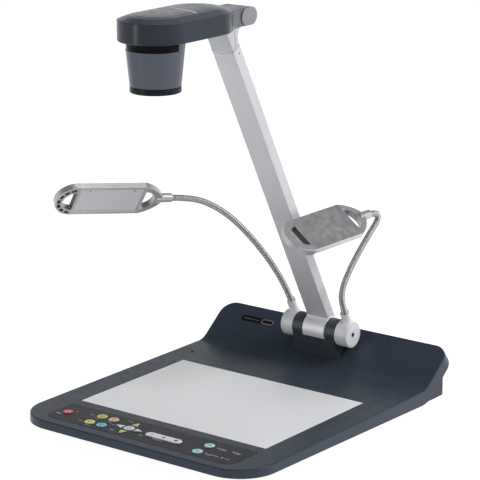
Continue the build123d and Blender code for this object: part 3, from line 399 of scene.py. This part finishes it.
def frame_prism(bm, outer, inner, z0, z1):
    """Closed ring between two outlines with the same number of points."""
    rings = [[bm.verts.new((x, y, z)) for x, y in line] for line, z in
             ((outer, z0), (outer, z1), (inner, z1), (inner, z0))]
    count = len(outer)
    for a, b in ((0, 1), (1, 2), (2, 3), (3, 0)):
        for i in range(count):
            j = (i + 1) % count
            bm.faces.new((rings[a][i], rings[a][j], rings[b][j], rings[b][i]))


def lathe(bm, profile, segments=48):
    """Turned shape about Z from (radius, z) points; ends on the axis are closed."""
    rings = []
    for radius, z in profile:
        if radius < 1e-6:
            rings.append([bm.verts.new((0, 0, z))])
        else:
            rings.append([bm.verts.new((x, y, z)) for x, y in circle(radius, segments)])
    for low, high in zip(rings, rings[1:]):
        for i in range(segments):
            j = (i + 1) % segments
            corners = [low[i % len(low)], low[j % len(low)], high[j % len(high)], high[i % len(high)]]
            unique = list(dict.fromkeys(corners))
            if len(unique) > 2:
                bm.faces.new(unique)


def tube(bm, points, radii, segments=16):
    """Tube through points with a radius at each, closed at both ends."""
    side = None
    rings = []
    for i, point in enumerate(points):
        ahead = points[min(i + 1, len(points) - 1)] - points[max(i - 1, 0)]
        ahead.normalize()
        if side is None:
            side = ahead.orthogonal().normalized()
        side = (side - ahead * side.dot(ahead)).normalized()
        up = ahead.cross(side)
        ring = []
        for step in range(segments):
            angle = 2 * math.pi * step / segments
            ring.append(bm.verts.new(point + (side * math.cos(angle) + up * math.sin(angle)) * radii[i]))
        rings.append(ring)
    for low, high in zip(rings, rings[1:]):
        for i in range(segments):
            j = (i + 1) % segments
            bm.faces.new((low[i], low[j], high[j], high[i]))
    bm.faces.new(rings[0][::-1])
    bm.faces.new(rings[-1])


# ---- Stage and deck ----
FLAT = placed((0, 0, 0), (1, 0, 0), (0, 0, 1))


def stage_borders():
    """White border round the stage, lighter than the plate: partly a printed frame, partly a painted
    reflection of the glass's bevelled edge.
    """
    bm = bmesh.new()
    outer = rounded_box(2 * STAGE_HALF_W - 0.9, 2 * STAGE_HALF_D - 0.9, 0.6)
    inner = rounded_box(2 * STAGE_HALF_W - 5.0, 2 * STAGE_HALF_D - 5.0, 0.5)
    frame_prism(bm, outer, inner, STAGE_TOP_Z - 0.02, STAGE_TOP_Z + 0.05)
    new_piece("stage_border", bm, FLAT, stage_frame_and_sheen, "base", smooth=False)


# ---- Control panel ----
PAD = (-30.0, -151.5)
STATUS_LAMPS = ((101.2, -140.0), (124.6, -139.6), (101.4, -163.4), (125.6, -163.6))
POWER_LAMP = (-122.4, -143.8)


def panel_lamps():
    """Domed indicator lights in the panel's holes."""
    for index, (x, y) in enumerate(STATUS_LAMPS + (POWER_LAMP,)):
        bm = bmesh.new()
        lathe(bm, ((0, 20.5), (0.95, 20.5), (0.95, 22.15), (0.8, 22.45), (0.45, 22.6), (0, 22.65)), 20)
        material = light_pink if (x, y) == POWER_LAMP else light_white
        place = placed((x, y, 0), (1, 0, 0), (0, 0, 1))
        new_piece("panel_light_" + str(index + 1), bm, place, material, "base")


def panel_marks():
    """Plain white marks beside the keys, standing for printed labels."""
    marks = (
        (-139.0, -160.5, 11.0, 1.1), (-99.5, -140.5, 8.0, 0.8), (-84.0, -148.6, 7.0, 0.7),
        (-98.5, -165.0, 7.0, 0.8),
        (-64.5, -147.6, 6.0, 0.7), (-80.0, -172.6, 9.0, 0.8), (-56.0, -152.0, 6.0, 0.9),
        (-45.0, -167.5, 6.0, 0.9),
        (-44.5, -131.0, 8.0, 0.8), (-3.5, -161.5, 7.0, 1.0), (24.0, -162.0, 16.0, 0.8),
        (109.0, -140.0, 11.0, 0.9),
        (109.5, -142.6, 8.0, 0.8), (131.8, -139.6, 10.0, 1.0), (131.5, -142.4, 9.0, 1.0),
        (113.0, -163.4, 15.0, 0.9),
        (133.5, -163.6, 8.0, 0.8), (107.0, -166.0, 6.0, 0.7),
    )
    bm = bmesh.new()
    for x, y, length, height in marks:
        prism(bm, rounded_box(length, height, height * 0.45, x, y, 3), PANEL_Z - 0.02, PANEL_Z + 0.03)
    new_piece("panel_marks", bm, FLAT, mark_white, "base", smooth=False)
    bm = bmesh.new()
    frame_prism(bm, circle(9.4, 48, *PAD), circle(7.2, 48, *PAD), PANEL_Z - 0.02, PANEL_Z + 0.03)
    new_piece("pad_blue_ring", bm, FLAT, mark_blue, "base", smooth=False)


def key_marks():
    """Small generic symbols printed on the keys."""
    low = KEY_Z - 0.02
    top = KEY_Z + 0.04

    def mark(name, body, material, shapes):
        bm = bmesh.new()
        for shape in shapes:
            if len(shape) == 2:
                frame_prism(bm, shape[0], shape[1], low, top)
            else:
                prism(bm, shape[0], low, top)
        new_piece(name, bm, FLAT, material, body, smooth=False)

    x, y = -131.5, -150.8
    gap = 0.55
    arc_out = circle(3.9, 30, x, y, math.pi / 2 + gap, 5 * math.pi / 2 - gap)
    arc_in = circle(2.7, 30, x, y, math.pi / 2 + gap, 5 * math.pi / 2 - gap)
    mark("power_mark", "key_power", mark_white, (
        (arc_out + arc_in[::-1],), (rounded_box(1.1, 3.6, 0.4, x, y + 2.4, 3),)))
    for index, (x, y) in enumerate(((-84.6, -138.8), (-65.4, -138.8), (-84.6, -163.0), (-65.4, -163.0))):
        outline = (rounded_box(5.2, 3.6, 0.5, x, y + 0.4, 3), rounded_box(4.0, 2.4, 0.3, x, y + 0.4, 3))
        foot = (rounded_box(2.8, 0.7, 0.2, x, y - 2.2, 3),)
        ink = seam_dark if index == 1 else dark_print_and_shade
        mark("source_mark_" + str(index + 1), "key_source_" + str(index + 1), ink, (outline, foot))
    x, y = PAD
    mark("centre_mark", "key_pad_centre", mark_blue, ((circle(3.0, 24, x, y), circle(2.1, 24, x, y)),))
    x, y = 26.5, -152.5
    mark("rocker_marks", "key_zoom_rocker", dark_print_and_shade, (
        (rounded_box(4.0, 4.0, 0.4, x, y, 3),), (circle(2.6, 24, x + 19.5, y),)))
    mark("rocker_dim_mark", "key_zoom_rocker", badge_grey,
         ((circle(2.4, 24, x - 18.5, y), circle(1.6, 24, x - 18.5, y)),))
    for body, y in (("key_lamp_top", -140.0), ("key_lamp_front", -164.0)):
        mark(body + "_mark", body, dark_print_and_shade, (
            (rounded_box(5.6, 2.2, 0.8, 88.4, y, 3), rounded_box(4.4, 1.0, 0.4, 88.4, y, 3)),))


# ---- Badge on the ramp ----
def ramp_z(y):
    end_y = RAMP_START_Y + RAMP_BEND_R * math.sin(RAMP_ANGLE)
    end_z = DECK_Z + RAMP_BEND_R * (1 - math.cos(RAMP_ANGLE))
    return end_z + (y - end_y) * math.tan(RAMP_ANGLE)


def badge_pieces():
    """Blank name plate: black with a grey oval outline at its right end."""
    place = placed((-118.0, 236.0, ramp_z(236.0)), (1, 0, 0),
                   (0, -math.sin(RAMP_ANGLE), math.cos(RAMP_ANGLE)))
    bm = bmesh.new()
    prism(bm, rounded_box(56.0, 9.4, 4.6, 0, 0, 10), -0.1, 0.55)
    plate = new_piece("badge_plate", bm, place, badge_black, "base", bevel=0.15)
    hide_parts("badge")
    bm = bmesh.new()
    frame_prism(bm, rounded_box(21.0, 8.6, 4.2, 17.0, 0, 10), rounded_box(17.4, 5.0, 2.4, 17.0, 0, 10),
                0.5, 0.75)
    new_piece("badge_oval", bm, place, badge_grey, "base")
    bm = bmesh.new()
    prism(bm, rounded_box(26.0, 0.8, 0.3, -10.0, -0.2, 3), 0.5, 0.62)
    new_piece("badge_line", bm, place, seam_dark, "base", smooth=False)


# ---- Screws ----
def screw(name, place, radius, material, body, height=0.7):
    """Pan-head screw; its cross recess is not cut but drawn as a dark cross on the head, a painted shade.
    """
    bm = bmesh.new()
    lathe(bm, ((0, -0.8), (radius, -0.8), (radius, height * 0.45), (radius * 0.86, height * 0.8),
               (radius * 0.5, height), (0, height)), 24)
    new_piece(name, bm, place, material, body)
    # Dark cross laid on the head: painted shade standing in for the cross recess.
    bm = bmesh.new()
    arm = radius * 0.6
    for width, depth in ((2 * arm, 0.3 * radius), (0.3 * radius, 2 * arm)):
        prism(bm, rounded_box(width, depth, 0.1 * radius, 0, 0, 2), height - 0.1, height + 0.02)
    new_piece(name + "_cross", bm, place, dark_print_and_shade, body, smooth=False)


def arm_point(along, depth):
    y = ARM_FOOT[0] - along * math.sin(ARM_LEAN) + depth * math.cos(ARM_LEAN)
    z = ARM_FOOT[1] + along * math.cos(ARM_LEAN) + depth * math.sin(ARM_LEAN)
    return y, z


def arm_details():
    """Screws in the arm's sides and the fine joint line of its top cap."""
    for side, label in ((1, "right"), (-1, "left")):
        for index, along in enumerate((24.0, 31.0, 455.0)):
            y, z = arm_point(along, 9.5)
            place = placed((side * (ARM_HALF_W - 0.75), y, z), (0, 1, 0), (side, 0, 0))
            screw("arm_screw_" + label + "_" + str(index + 1), place, 1.2, screw_steel, "arm",
                  0.5)
        line = [Vector((side * (ARM_HALF_W + 0.01), *arm_point(along, depth))) for along, depth in
                ((463.0, 0.4), (464.2, 3.0), (466.5, 6.0), (470.5, 9.0), (476.5, 11.6), (483.0, 13.6),
                 (490.0, 15.0))]
        bm = bmesh.new()
        tube(bm, line, [0.22] * len(line), 8)
        new_piece("neck_seam_" + label, bm, FLAT, seam_dark, "arm")
    line = []
    for step in range(17):
        share = step / 8.0 - 1.0
        along = 463.0 - 4.0 * (1.0 - share * share)
        line.append(Vector((share * ARM_HALF_W, *arm_point(along, 0.0))))
    bm = bmesh.new()
    tube(bm, line, [0.22] * len(line), 8)
    new_piece("neck_seam_front", bm, FLAT, seam_dark, "arm")


def drum_details():
    """Recessed socket screws and ring lines in the ends of the hinge drums."""
    for side, label in ((-1, "left"), (1, "right")):
        body = "drum_" + label
        place = placed((side * 54.0, HINGE_Y, HINGE_Z), (0, 1, 0), (side, 0, 0))
        bm = bmesh.new()
        lathe(bm, ((0, -0.9), (2.15, -0.9), (2.15, -0.35), (1.9, -0.2), (1.25, -0.2), (1.25, -0.8),
                   (0, -0.8)), 6)
        new_piece("drum_screw_" + label, bm, place, ring_metal, body)
        bm = bmesh.new()
        frame_prism(bm, circle(16.2, 64), circle(15.9, 64), -0.05, 0.0)
        new_piece("drum_line_" + label, bm, place, seam_dark, body, smooth=False)
        bm = bmesh.new()
        frame_prism(bm, circle(3.3, 32), circle(2.3, 32), -0.05, 0.0)
        new_piece("drum_screw_edge_" + label, bm, place, ring_metal, body, smooth=False)


# ---- Lens ----
def lens_details():
    """Stacked lens rings and the front lens inside the skirt."""
    place = placed((0, LENS_Y, 0), (1, 0, 0), (0, 0, 1))
    bm = bmesh.new()
    lathe(bm, ((24.6, 455.0), (24.6, 462.5), (22.4, 462.5), (22.4, 459.5), (20.8, 458.6), (20.8, 457.4),
               (22.8, 456.2),
               (23.6, 455.0), (24.6, 455.0)), 96)
    new_piece("lens_bezel", bm, place, ring_metal, "head")
    bm = bmesh.new()
    lathe(bm, ((16.8, 463.5), (14.5, 462.0), (11.5, 460.9), (8.0, 460.2), (4.0, 459.8), (0, 459.7)), 64)
    new_piece("front_lens", bm, place, lens_coating, "head")
    bm = bmesh.new()
    lathe(bm, ((20.4, 458.6), (20.4, 460.6), (17.2, 462.8), (17.2, 458.9), (18.8, 458.0), (20.4, 458.6)),
          64)
    new_piece("lens_collar", bm, place, camera_black, "head")


# ---- Head ----
LABEL_STATIONS = (-16.0, -13.5, -5.0, 5.0, 13.5, 18.0, 23.5, 28.0, 30.0)
LABEL_CORNERS = ((-1.5, LABEL_RISE), (1.5, LABEL_RISE), (1.5, -0.3), (-1.5, -0.3))
LABEL_Y = -84.0
LABEL_SLANT = -0.12
JOINT_CORNERS = ((45.55, 511.5), (46.15, 511.5), (46.15, 533.2), (45.55, 533.2))


def bridge_rings(bm, rings):
    """Closed strip through rings of four points each."""
    for low, high in zip(rings, rings[1:]):
        for i in range(4):
            j = (i + 1) % 4
            bm.faces.new((low[i], low[j], high[j], high[i]))
    bm.faces.new(rings[0][::-1])
    bm.faces.new(rings[-1])


def head_top_z(x):
    """Height of the head's crowned top at a distance from its middle plane."""
    for (far, low), (near, high) in zip(HEAD_CROWN, HEAD_CROWN[1:]):
        if abs(x) >= near:
            return low + (high - low) * (far - abs(x)) / (far - near)
    return HEAD_CROWN[-1][1]


def head_details():
    """Blank pale label on the head's top and the dark joint round its tail."""
    bm = bmesh.new()
    rings = []
    for x in LABEL_STATIONS:
        middle = LABEL_Y + LABEL_SLANT * x
        corners = [(x, middle + side, head_top_z(x) + rise) for side, rise in LABEL_CORNERS]
        rings.append([bm.verts.new(corner) for corner in corners])
    bridge_rings(bm, rings)
    new_piece("head_label", bm, FLAT, label_grey, "head", smooth=False)
    bm = bmesh.new()
    rings = []
    for turn in (math.radians(step) for step in range(40, 141, 4)):
        ring = []
        for radius, height in JOINT_CORNERS:
            place = (radius * math.cos(turn), HEAD_TAIL_Y + radius * math.sin(turn), height)
            ring.append(bm.verts.new(place))
        rings.append(ring)
    bridge_rings(bm, rings)
    new_piece("head_joint", bm, FLAT, dark_print_and_shade, "head", smooth=False)


# ---- Bendable necks ----
def spline_points(route, spacing):
    """Evenly spaced points, in metres, on the smooth line that a route's points control."""
    data = bpy.data.curves.new("neck_route", "CURVE")
    data.dimensions = "3D"
    data.resolution_u = 64
    spline = data.splines.new("NURBS")
    spline.points.add(len(route) - 1)
    for point, place in zip(spline.points, route):
        point.co = (*row(*place), 1.0)
    spline.order_u = 3
    spline.use_endpoint_u = True
    holder = bpy.data.objects.new("neck_route", data)
    line = bpy.data.meshes.new_from_object(holder)
    fine = [v.co.copy() for v in line.vertices]
    bpy.data.objects.remove(holder)
    bpy.data.curves.remove(data)
    bpy.data.meshes.remove(line)
    total = sum((b - a).length for a, b in zip(fine, fine[1:]))
    count = max(8, round(total / spacing))
    step = total / count
    points = [fine[0]]
    walked = 0.0
    for a, b in zip(fine, fine[1:]):
        span = (b - a).length
        while walked + span >= step * len(points) and len(points) < count:
            points.append(a.lerp(b, (step * len(points) - walked) / span))
        walked += span
    points.append(fine[-1])
    return points


RIB_PITCH = 2.8
RIB_STEPS = 8


def ribbed_neck(label, route):
    """Flexible metal hose: close round ribs all along its line."""
    points = spline_points(route, RIB_PITCH * MM / RIB_STEPS)
    radii = []
    for index in range(len(points)):
        wave = abs(math.sin(math.pi * index / RIB_STEPS))
        radii.append((NECK_R - 0.75 + 0.7 * wave**0.6) * MM)
    bm = bmesh.new()
    tube(bm, points, radii, 20)
    neck = new_piece("gooseneck_" + label, bm, Matrix.Identity(4), neck_metal, None)
    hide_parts("neck_lower_" + label, "neck_upper_" + label)
    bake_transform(neck)


# ---- Lamps ----
def lamp_place(route, back):
    """The lamp's own frame: X along the neck's end, Z out of its back."""
    end = Vector(route[-1])
    along = (Vector(route[-2]) - end).normalized()
    return placed(end - along * LAMP_NECK_X, along, Vector(back) - along * Vector(back).dot(along))


def lamp_details(label, place):
    """Seams, screws and inner surfaces of one lamp."""
    body = "lamp_" + label
    bm = bmesh.new()
    for y in (-23.6, 20.2):
        prism(bm, rounded_box(2 * LAMP_HALF_L - 9, 0.5, 0.2, 0, y, 2), LAMP_FACE_Z + 0.35,
              LAMP_FACE_Z + 0.45)
    new_piece("diffuser_seams_" + label, bm, place, seam_dark, body, smooth=False)
    turned = place @ Matrix.Rotation(math.pi, 4, "X")
    for index, x in enumerate((-31.0, 31.0)):
        spot = turned @ Matrix.Translation((x, 20.5, -LAMP_FACE_Z - 0.55))
        screw("lamp_screw_" + label + "_" + str(index + 1), spot, 1.1, ring_metal, body, 0.5)
    for end, side in (("tip", -1), ("neck", 1)):
        bm = bmesh.new()
        x = side * (LAMP_HALF_L + 2.05)
        half = 17.0
        prism(bm, rounded_box(0.3, 2 * half, 0.1, x, 0, 2), -4.2, 4.2)
        new_piece("loop_wall_" + end + "_" + label, bm, place, lamp_inner_dark, body,
                  smooth=False)
    bm = bmesh.new()
    for step in range(7):
        angle = math.radians(-72.0 + 24.0 * step)
        turn = Matrix.Rotation(angle, 3, "Z")
        corners = [turn @ Vector((23 + x, y, 0)) for x, y in rounded_box(4.4, 7.4, 0.3, 0, 0, 2)]
        prism(bm, [(-LAMP_HALF_L - c.x, -c.y) for c in corners], -1.9, -1.6)
    new_piece("vent_floors_" + label, bm, place, vent_black, body, smooth=False)


# ---- Rear sockets ----
def socket_details():
    """Hexagonal posts beside the wide sockets and metal shells in the others."""
    for index, x in enumerate((-120.0, -78.0)):
        for side in (-1, 1):
            place = placed((x + side * 12.2, SOCKET_REAR_Y, 18.0), (1, 0, 0), (0, 1, 0))
            bm = bmesh.new()
            lathe(bm, ((0, 0), (2.6, 0), (2.6, 3.4), (2.2, 3.9), (1.3, 3.9), (1.3, 2.0), (0, 2.0)), 6)
            name = "socket_post_" + str(index + 1) + ("_a" if side < 0 else "_b")
            new_piece(name, bm, place, screw_steel, "base")
    for name, x, width, height in (("digital", -38.0, 13.6, 5.0), ("data", -10.0, 10.6, 9.6)):
        place = placed((x, SOCKET_REAR_Y, 18.0), (1, 0, 0), (0, 1, 0))
        bm = bmesh.new()
        frame_prism(bm, rounded_box(width, height, 0.6, 0, 0, 4),
                    rounded_box(width - 0.8, height - 0.8, 0.4, 0, 0, 4),
                    -5.0, 0.2)
        new_piece("socket_shell_" + name, bm, place, screw_steel, "base")


# ---- Materials of the CAD nodes ----
def lamp_turn(place):
    turn = place.to_3x3().normalized().to_euler()
    return (turn.x, turn.y, turn.z)


def dress_nodes(left_place, right_place):
    """Gives every CAD node its finished material."""
    finish = {
        "base_shell": deck_paint, "bottom_cover": housing_plastic, "cover_screws": screw_steel,
        "rear_housing": housing_plastic, "main_board": circuit_board, "power_inlet": socket_plastic,
        "av_sockets": socket_plastic, "feet_front": foot_rubber, "feet_rear": foot_rubber,
        "stage_glass": stage_plate, "light_guide": clear_acrylic, "led_strips": led_strip_white,
        "panel_overlay": panel_facing, "key_board": circuit_board, "hinge_bracket": hinge_dark,
        "hinge_shaft": shaft_steel, "badge": badge_black, "sensor_window": window_black,
        "arm_barrel": barrel_silver, "arm_tube": arm_silver, "arm_neck": neck_silver,
        "head_housing": head_slate, "head_top_cap": head_top_paint, "head_tail": tail_grey,
        "pivot_caps": pivot_grey, "lens_barrel": skirt_metal, "lens_ring": ring_metal,
        "lens_glass": lens_window, "camera_module": camera_black, "key_power": key_red,
        "key_source_1": key_lime, "key_source_2": key_beige, "key_source_3": key_yellow,
        "key_source_4": key_blue, "key_pad_centre": key_white, "key_lamp_top": key_teal,
        "key_lamp_front": key_teal, "key_pad_right": key_white, "key_pad_back": key_lime,
        "key_pad_left": key_white, "key_pad_front": key_lime, "key_zoom_rocker": key_white,
    }
    for label, place in (("left", left_place), ("right", right_place)):
        finish["lamp_drum_" + label] = drum_silver
        finish["drum_cap_" + label] = drum_silver
        finish["neck_lower_" + label] = neck_metal
        finish["neck_upper_" + label] = neck_metal
        finish["lamp_body_" + label] = brushed_lamp("lamp_metal_" + label, lamp_turn(place))
        finish["lamp_tip_cap_" + label] = lamp_end_silver
        finish["lamp_neck_cap_" + label] = lamp_end_silver
        finish["lamp_diffuser_" + label] = diffuser_plastic
        finish["lamp_led_board_" + label] = circuit_board
    for name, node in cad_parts.items():
        node.data.materials.clear()
        node.data.materials.append(finish[name])


# ---- Studio ----
CAMERA_PLACE = (1624.7, -2110.3, 948.5)
CAMERA_TURN = math.radians(37.093)
CAMERA_DROP = math.radians(14.933)
CAMERA_LENS = 163.03
SKY_TOP = 0.1
SKY_FRONT = 0.22
FLOOR_GLOW = 0.95


def studio():
    """Pale floor, soft lights and the camera."""
    bm = bmesh.new()
    size = 9000.0
    corners = [bm.verts.new((x, y, -0.4)) for x,
               y in ((-size, -size), (size, -size), (size, size), (-size, size))]
    bm.faces.new(corners)
    paint = surface("floor_paint", (0.3, 0.3, 0.3), 0.9, grain=0.02, mottle=0.004, mottle_scale=2, edge=0.0,
                    specular=0.0)
    shader = paint.node_tree.nodes["Principled BSDF"]
    shader.inputs["Emission Color"].default_value = (1.0, 1.0, 1.0, 1.0)
    shader.inputs["Emission Strength"].default_value = FLOOR_GLOW
    floor = new_piece("floor", bm, FLAT, paint, None, smooth=False)
    aim = row(0, 40, 150)
    for name, azimuth, height, distance, width, tall, power in (
        ("key_light", 112.0, 34.0, 2.6, 1.6, 1.8, 60.0),
        ("top_light", 185.0, 80.0, 2.6, 1.2, 1.2, 10.0),
        ("left_light", -20.0, 9.0, 2.6, 0.4, 2.2, 20.0),
    ):
        data = bpy.data.lights.new(name, "AREA")
        data.shape = "RECTANGLE"
        data.size = width
        data.size_y = tall
        data.energy = power
        light = bpy.data.objects.new(name, data)
        a = math.radians(azimuth)
        e = math.radians(height)
        away = Vector((math.sin(a) * math.cos(e), -math.cos(a) * math.cos(e), math.sin(e)))
        light.location = aim + away * distance
        light.rotation_mode = "QUATERNION"
        light.rotation_quaternion = away.to_track_quat("Z", "Y")
        bpy.context.scene.collection.objects.link(light)
    world = bpy.data.worlds.new("studio")
    bpy.context.scene.world = world
    world.use_nodes = True
    tree = world.node_tree
    background = tree.nodes["Background"]
    background.inputs["Color"].default_value = (1.0, 1.0, 1.0, 1.0)
    place = tree.nodes.new("ShaderNodeTexCoord").outputs["Generated"]
    parts = tree.nodes.new("ShaderNodeSeparateXYZ")
    tree.links.new(place, parts.inputs[0])
    toward = tree.nodes.new("ShaderNodeVectorMath")
    toward.operation = "DOT_PRODUCT"
    toward.inputs[1].default_value = (math.sin(CAMERA_TURN), -math.cos(CAMERA_TURN), 0.0)
    tree.links.new(place, toward.inputs[0])
    shares = []
    fades = ((parts.outputs["Z"], 0.2, 0.6, SKY_TOP), (toward.outputs["Value"], -0.3, 0.7, SKY_FRONT))
    for value, start, end, least in fades:
        fade = tree.nodes.new("ShaderNodeMapRange")
        fade.interpolation_type = "SMOOTHSTEP"
        fade.inputs["From Min"].default_value = start
        fade.inputs["From Max"].default_value = end
        fade.inputs["To Min"].default_value = 1.0
        fade.inputs["To Max"].default_value = least
        tree.links.new(value, fade.inputs["Value"])
        shares.append(fade.outputs["Result"])
    both = tree.nodes.new("ShaderNodeMath")
    both.operation = "MULTIPLY"
    tree.links.new(shares[0], both.inputs[0])
    tree.links.new(shares[1], both.inputs[1])
    tree.links.new(both.outputs[0], background.inputs["Strength"])
    camera = bpy.data.objects.new("camera", bpy.data.cameras.new("camera"))
    camera.data.lens = CAMERA_LENS
    camera.data.sensor_width = 36.0
    camera.data.clip_end = 60.0
    camera.location = row(*CAMERA_PLACE)
    look = Vector((-math.sin(CAMERA_TURN) * math.cos(CAMERA_DROP),
                   math.cos(CAMERA_TURN) * math.cos(CAMERA_DROP),
                   -math.sin(CAMERA_DROP)))
    camera.rotation_mode = "QUATERNION"
    camera.rotation_quaternion = look.to_track_quat("-Z", "Y")
    bpy.context.scene.collection.objects.link(camera)
    bpy.context.scene.camera = camera
    bpy.context.scene.view_settings.view_transform = "Standard"


left_lamp = lamp_place(LEFT_ROUTE, LEFT_BACK)
right_lamp = lamp_place(RIGHT_ROUTE, RIGHT_BACK)
dress_nodes(left_lamp, right_lamp)
stage_borders()
panel_lamps()
panel_marks()
key_marks()
badge_pieces()
arm_details()
drum_details()
lens_details()
ribbed_neck("left", LEFT_ROUTE)
ribbed_neck("right", RIGHT_ROUTE)
lamp_details("left", left_lamp)
lamp_details("right", right_lamp)
socket_details()
head_details()
studio()
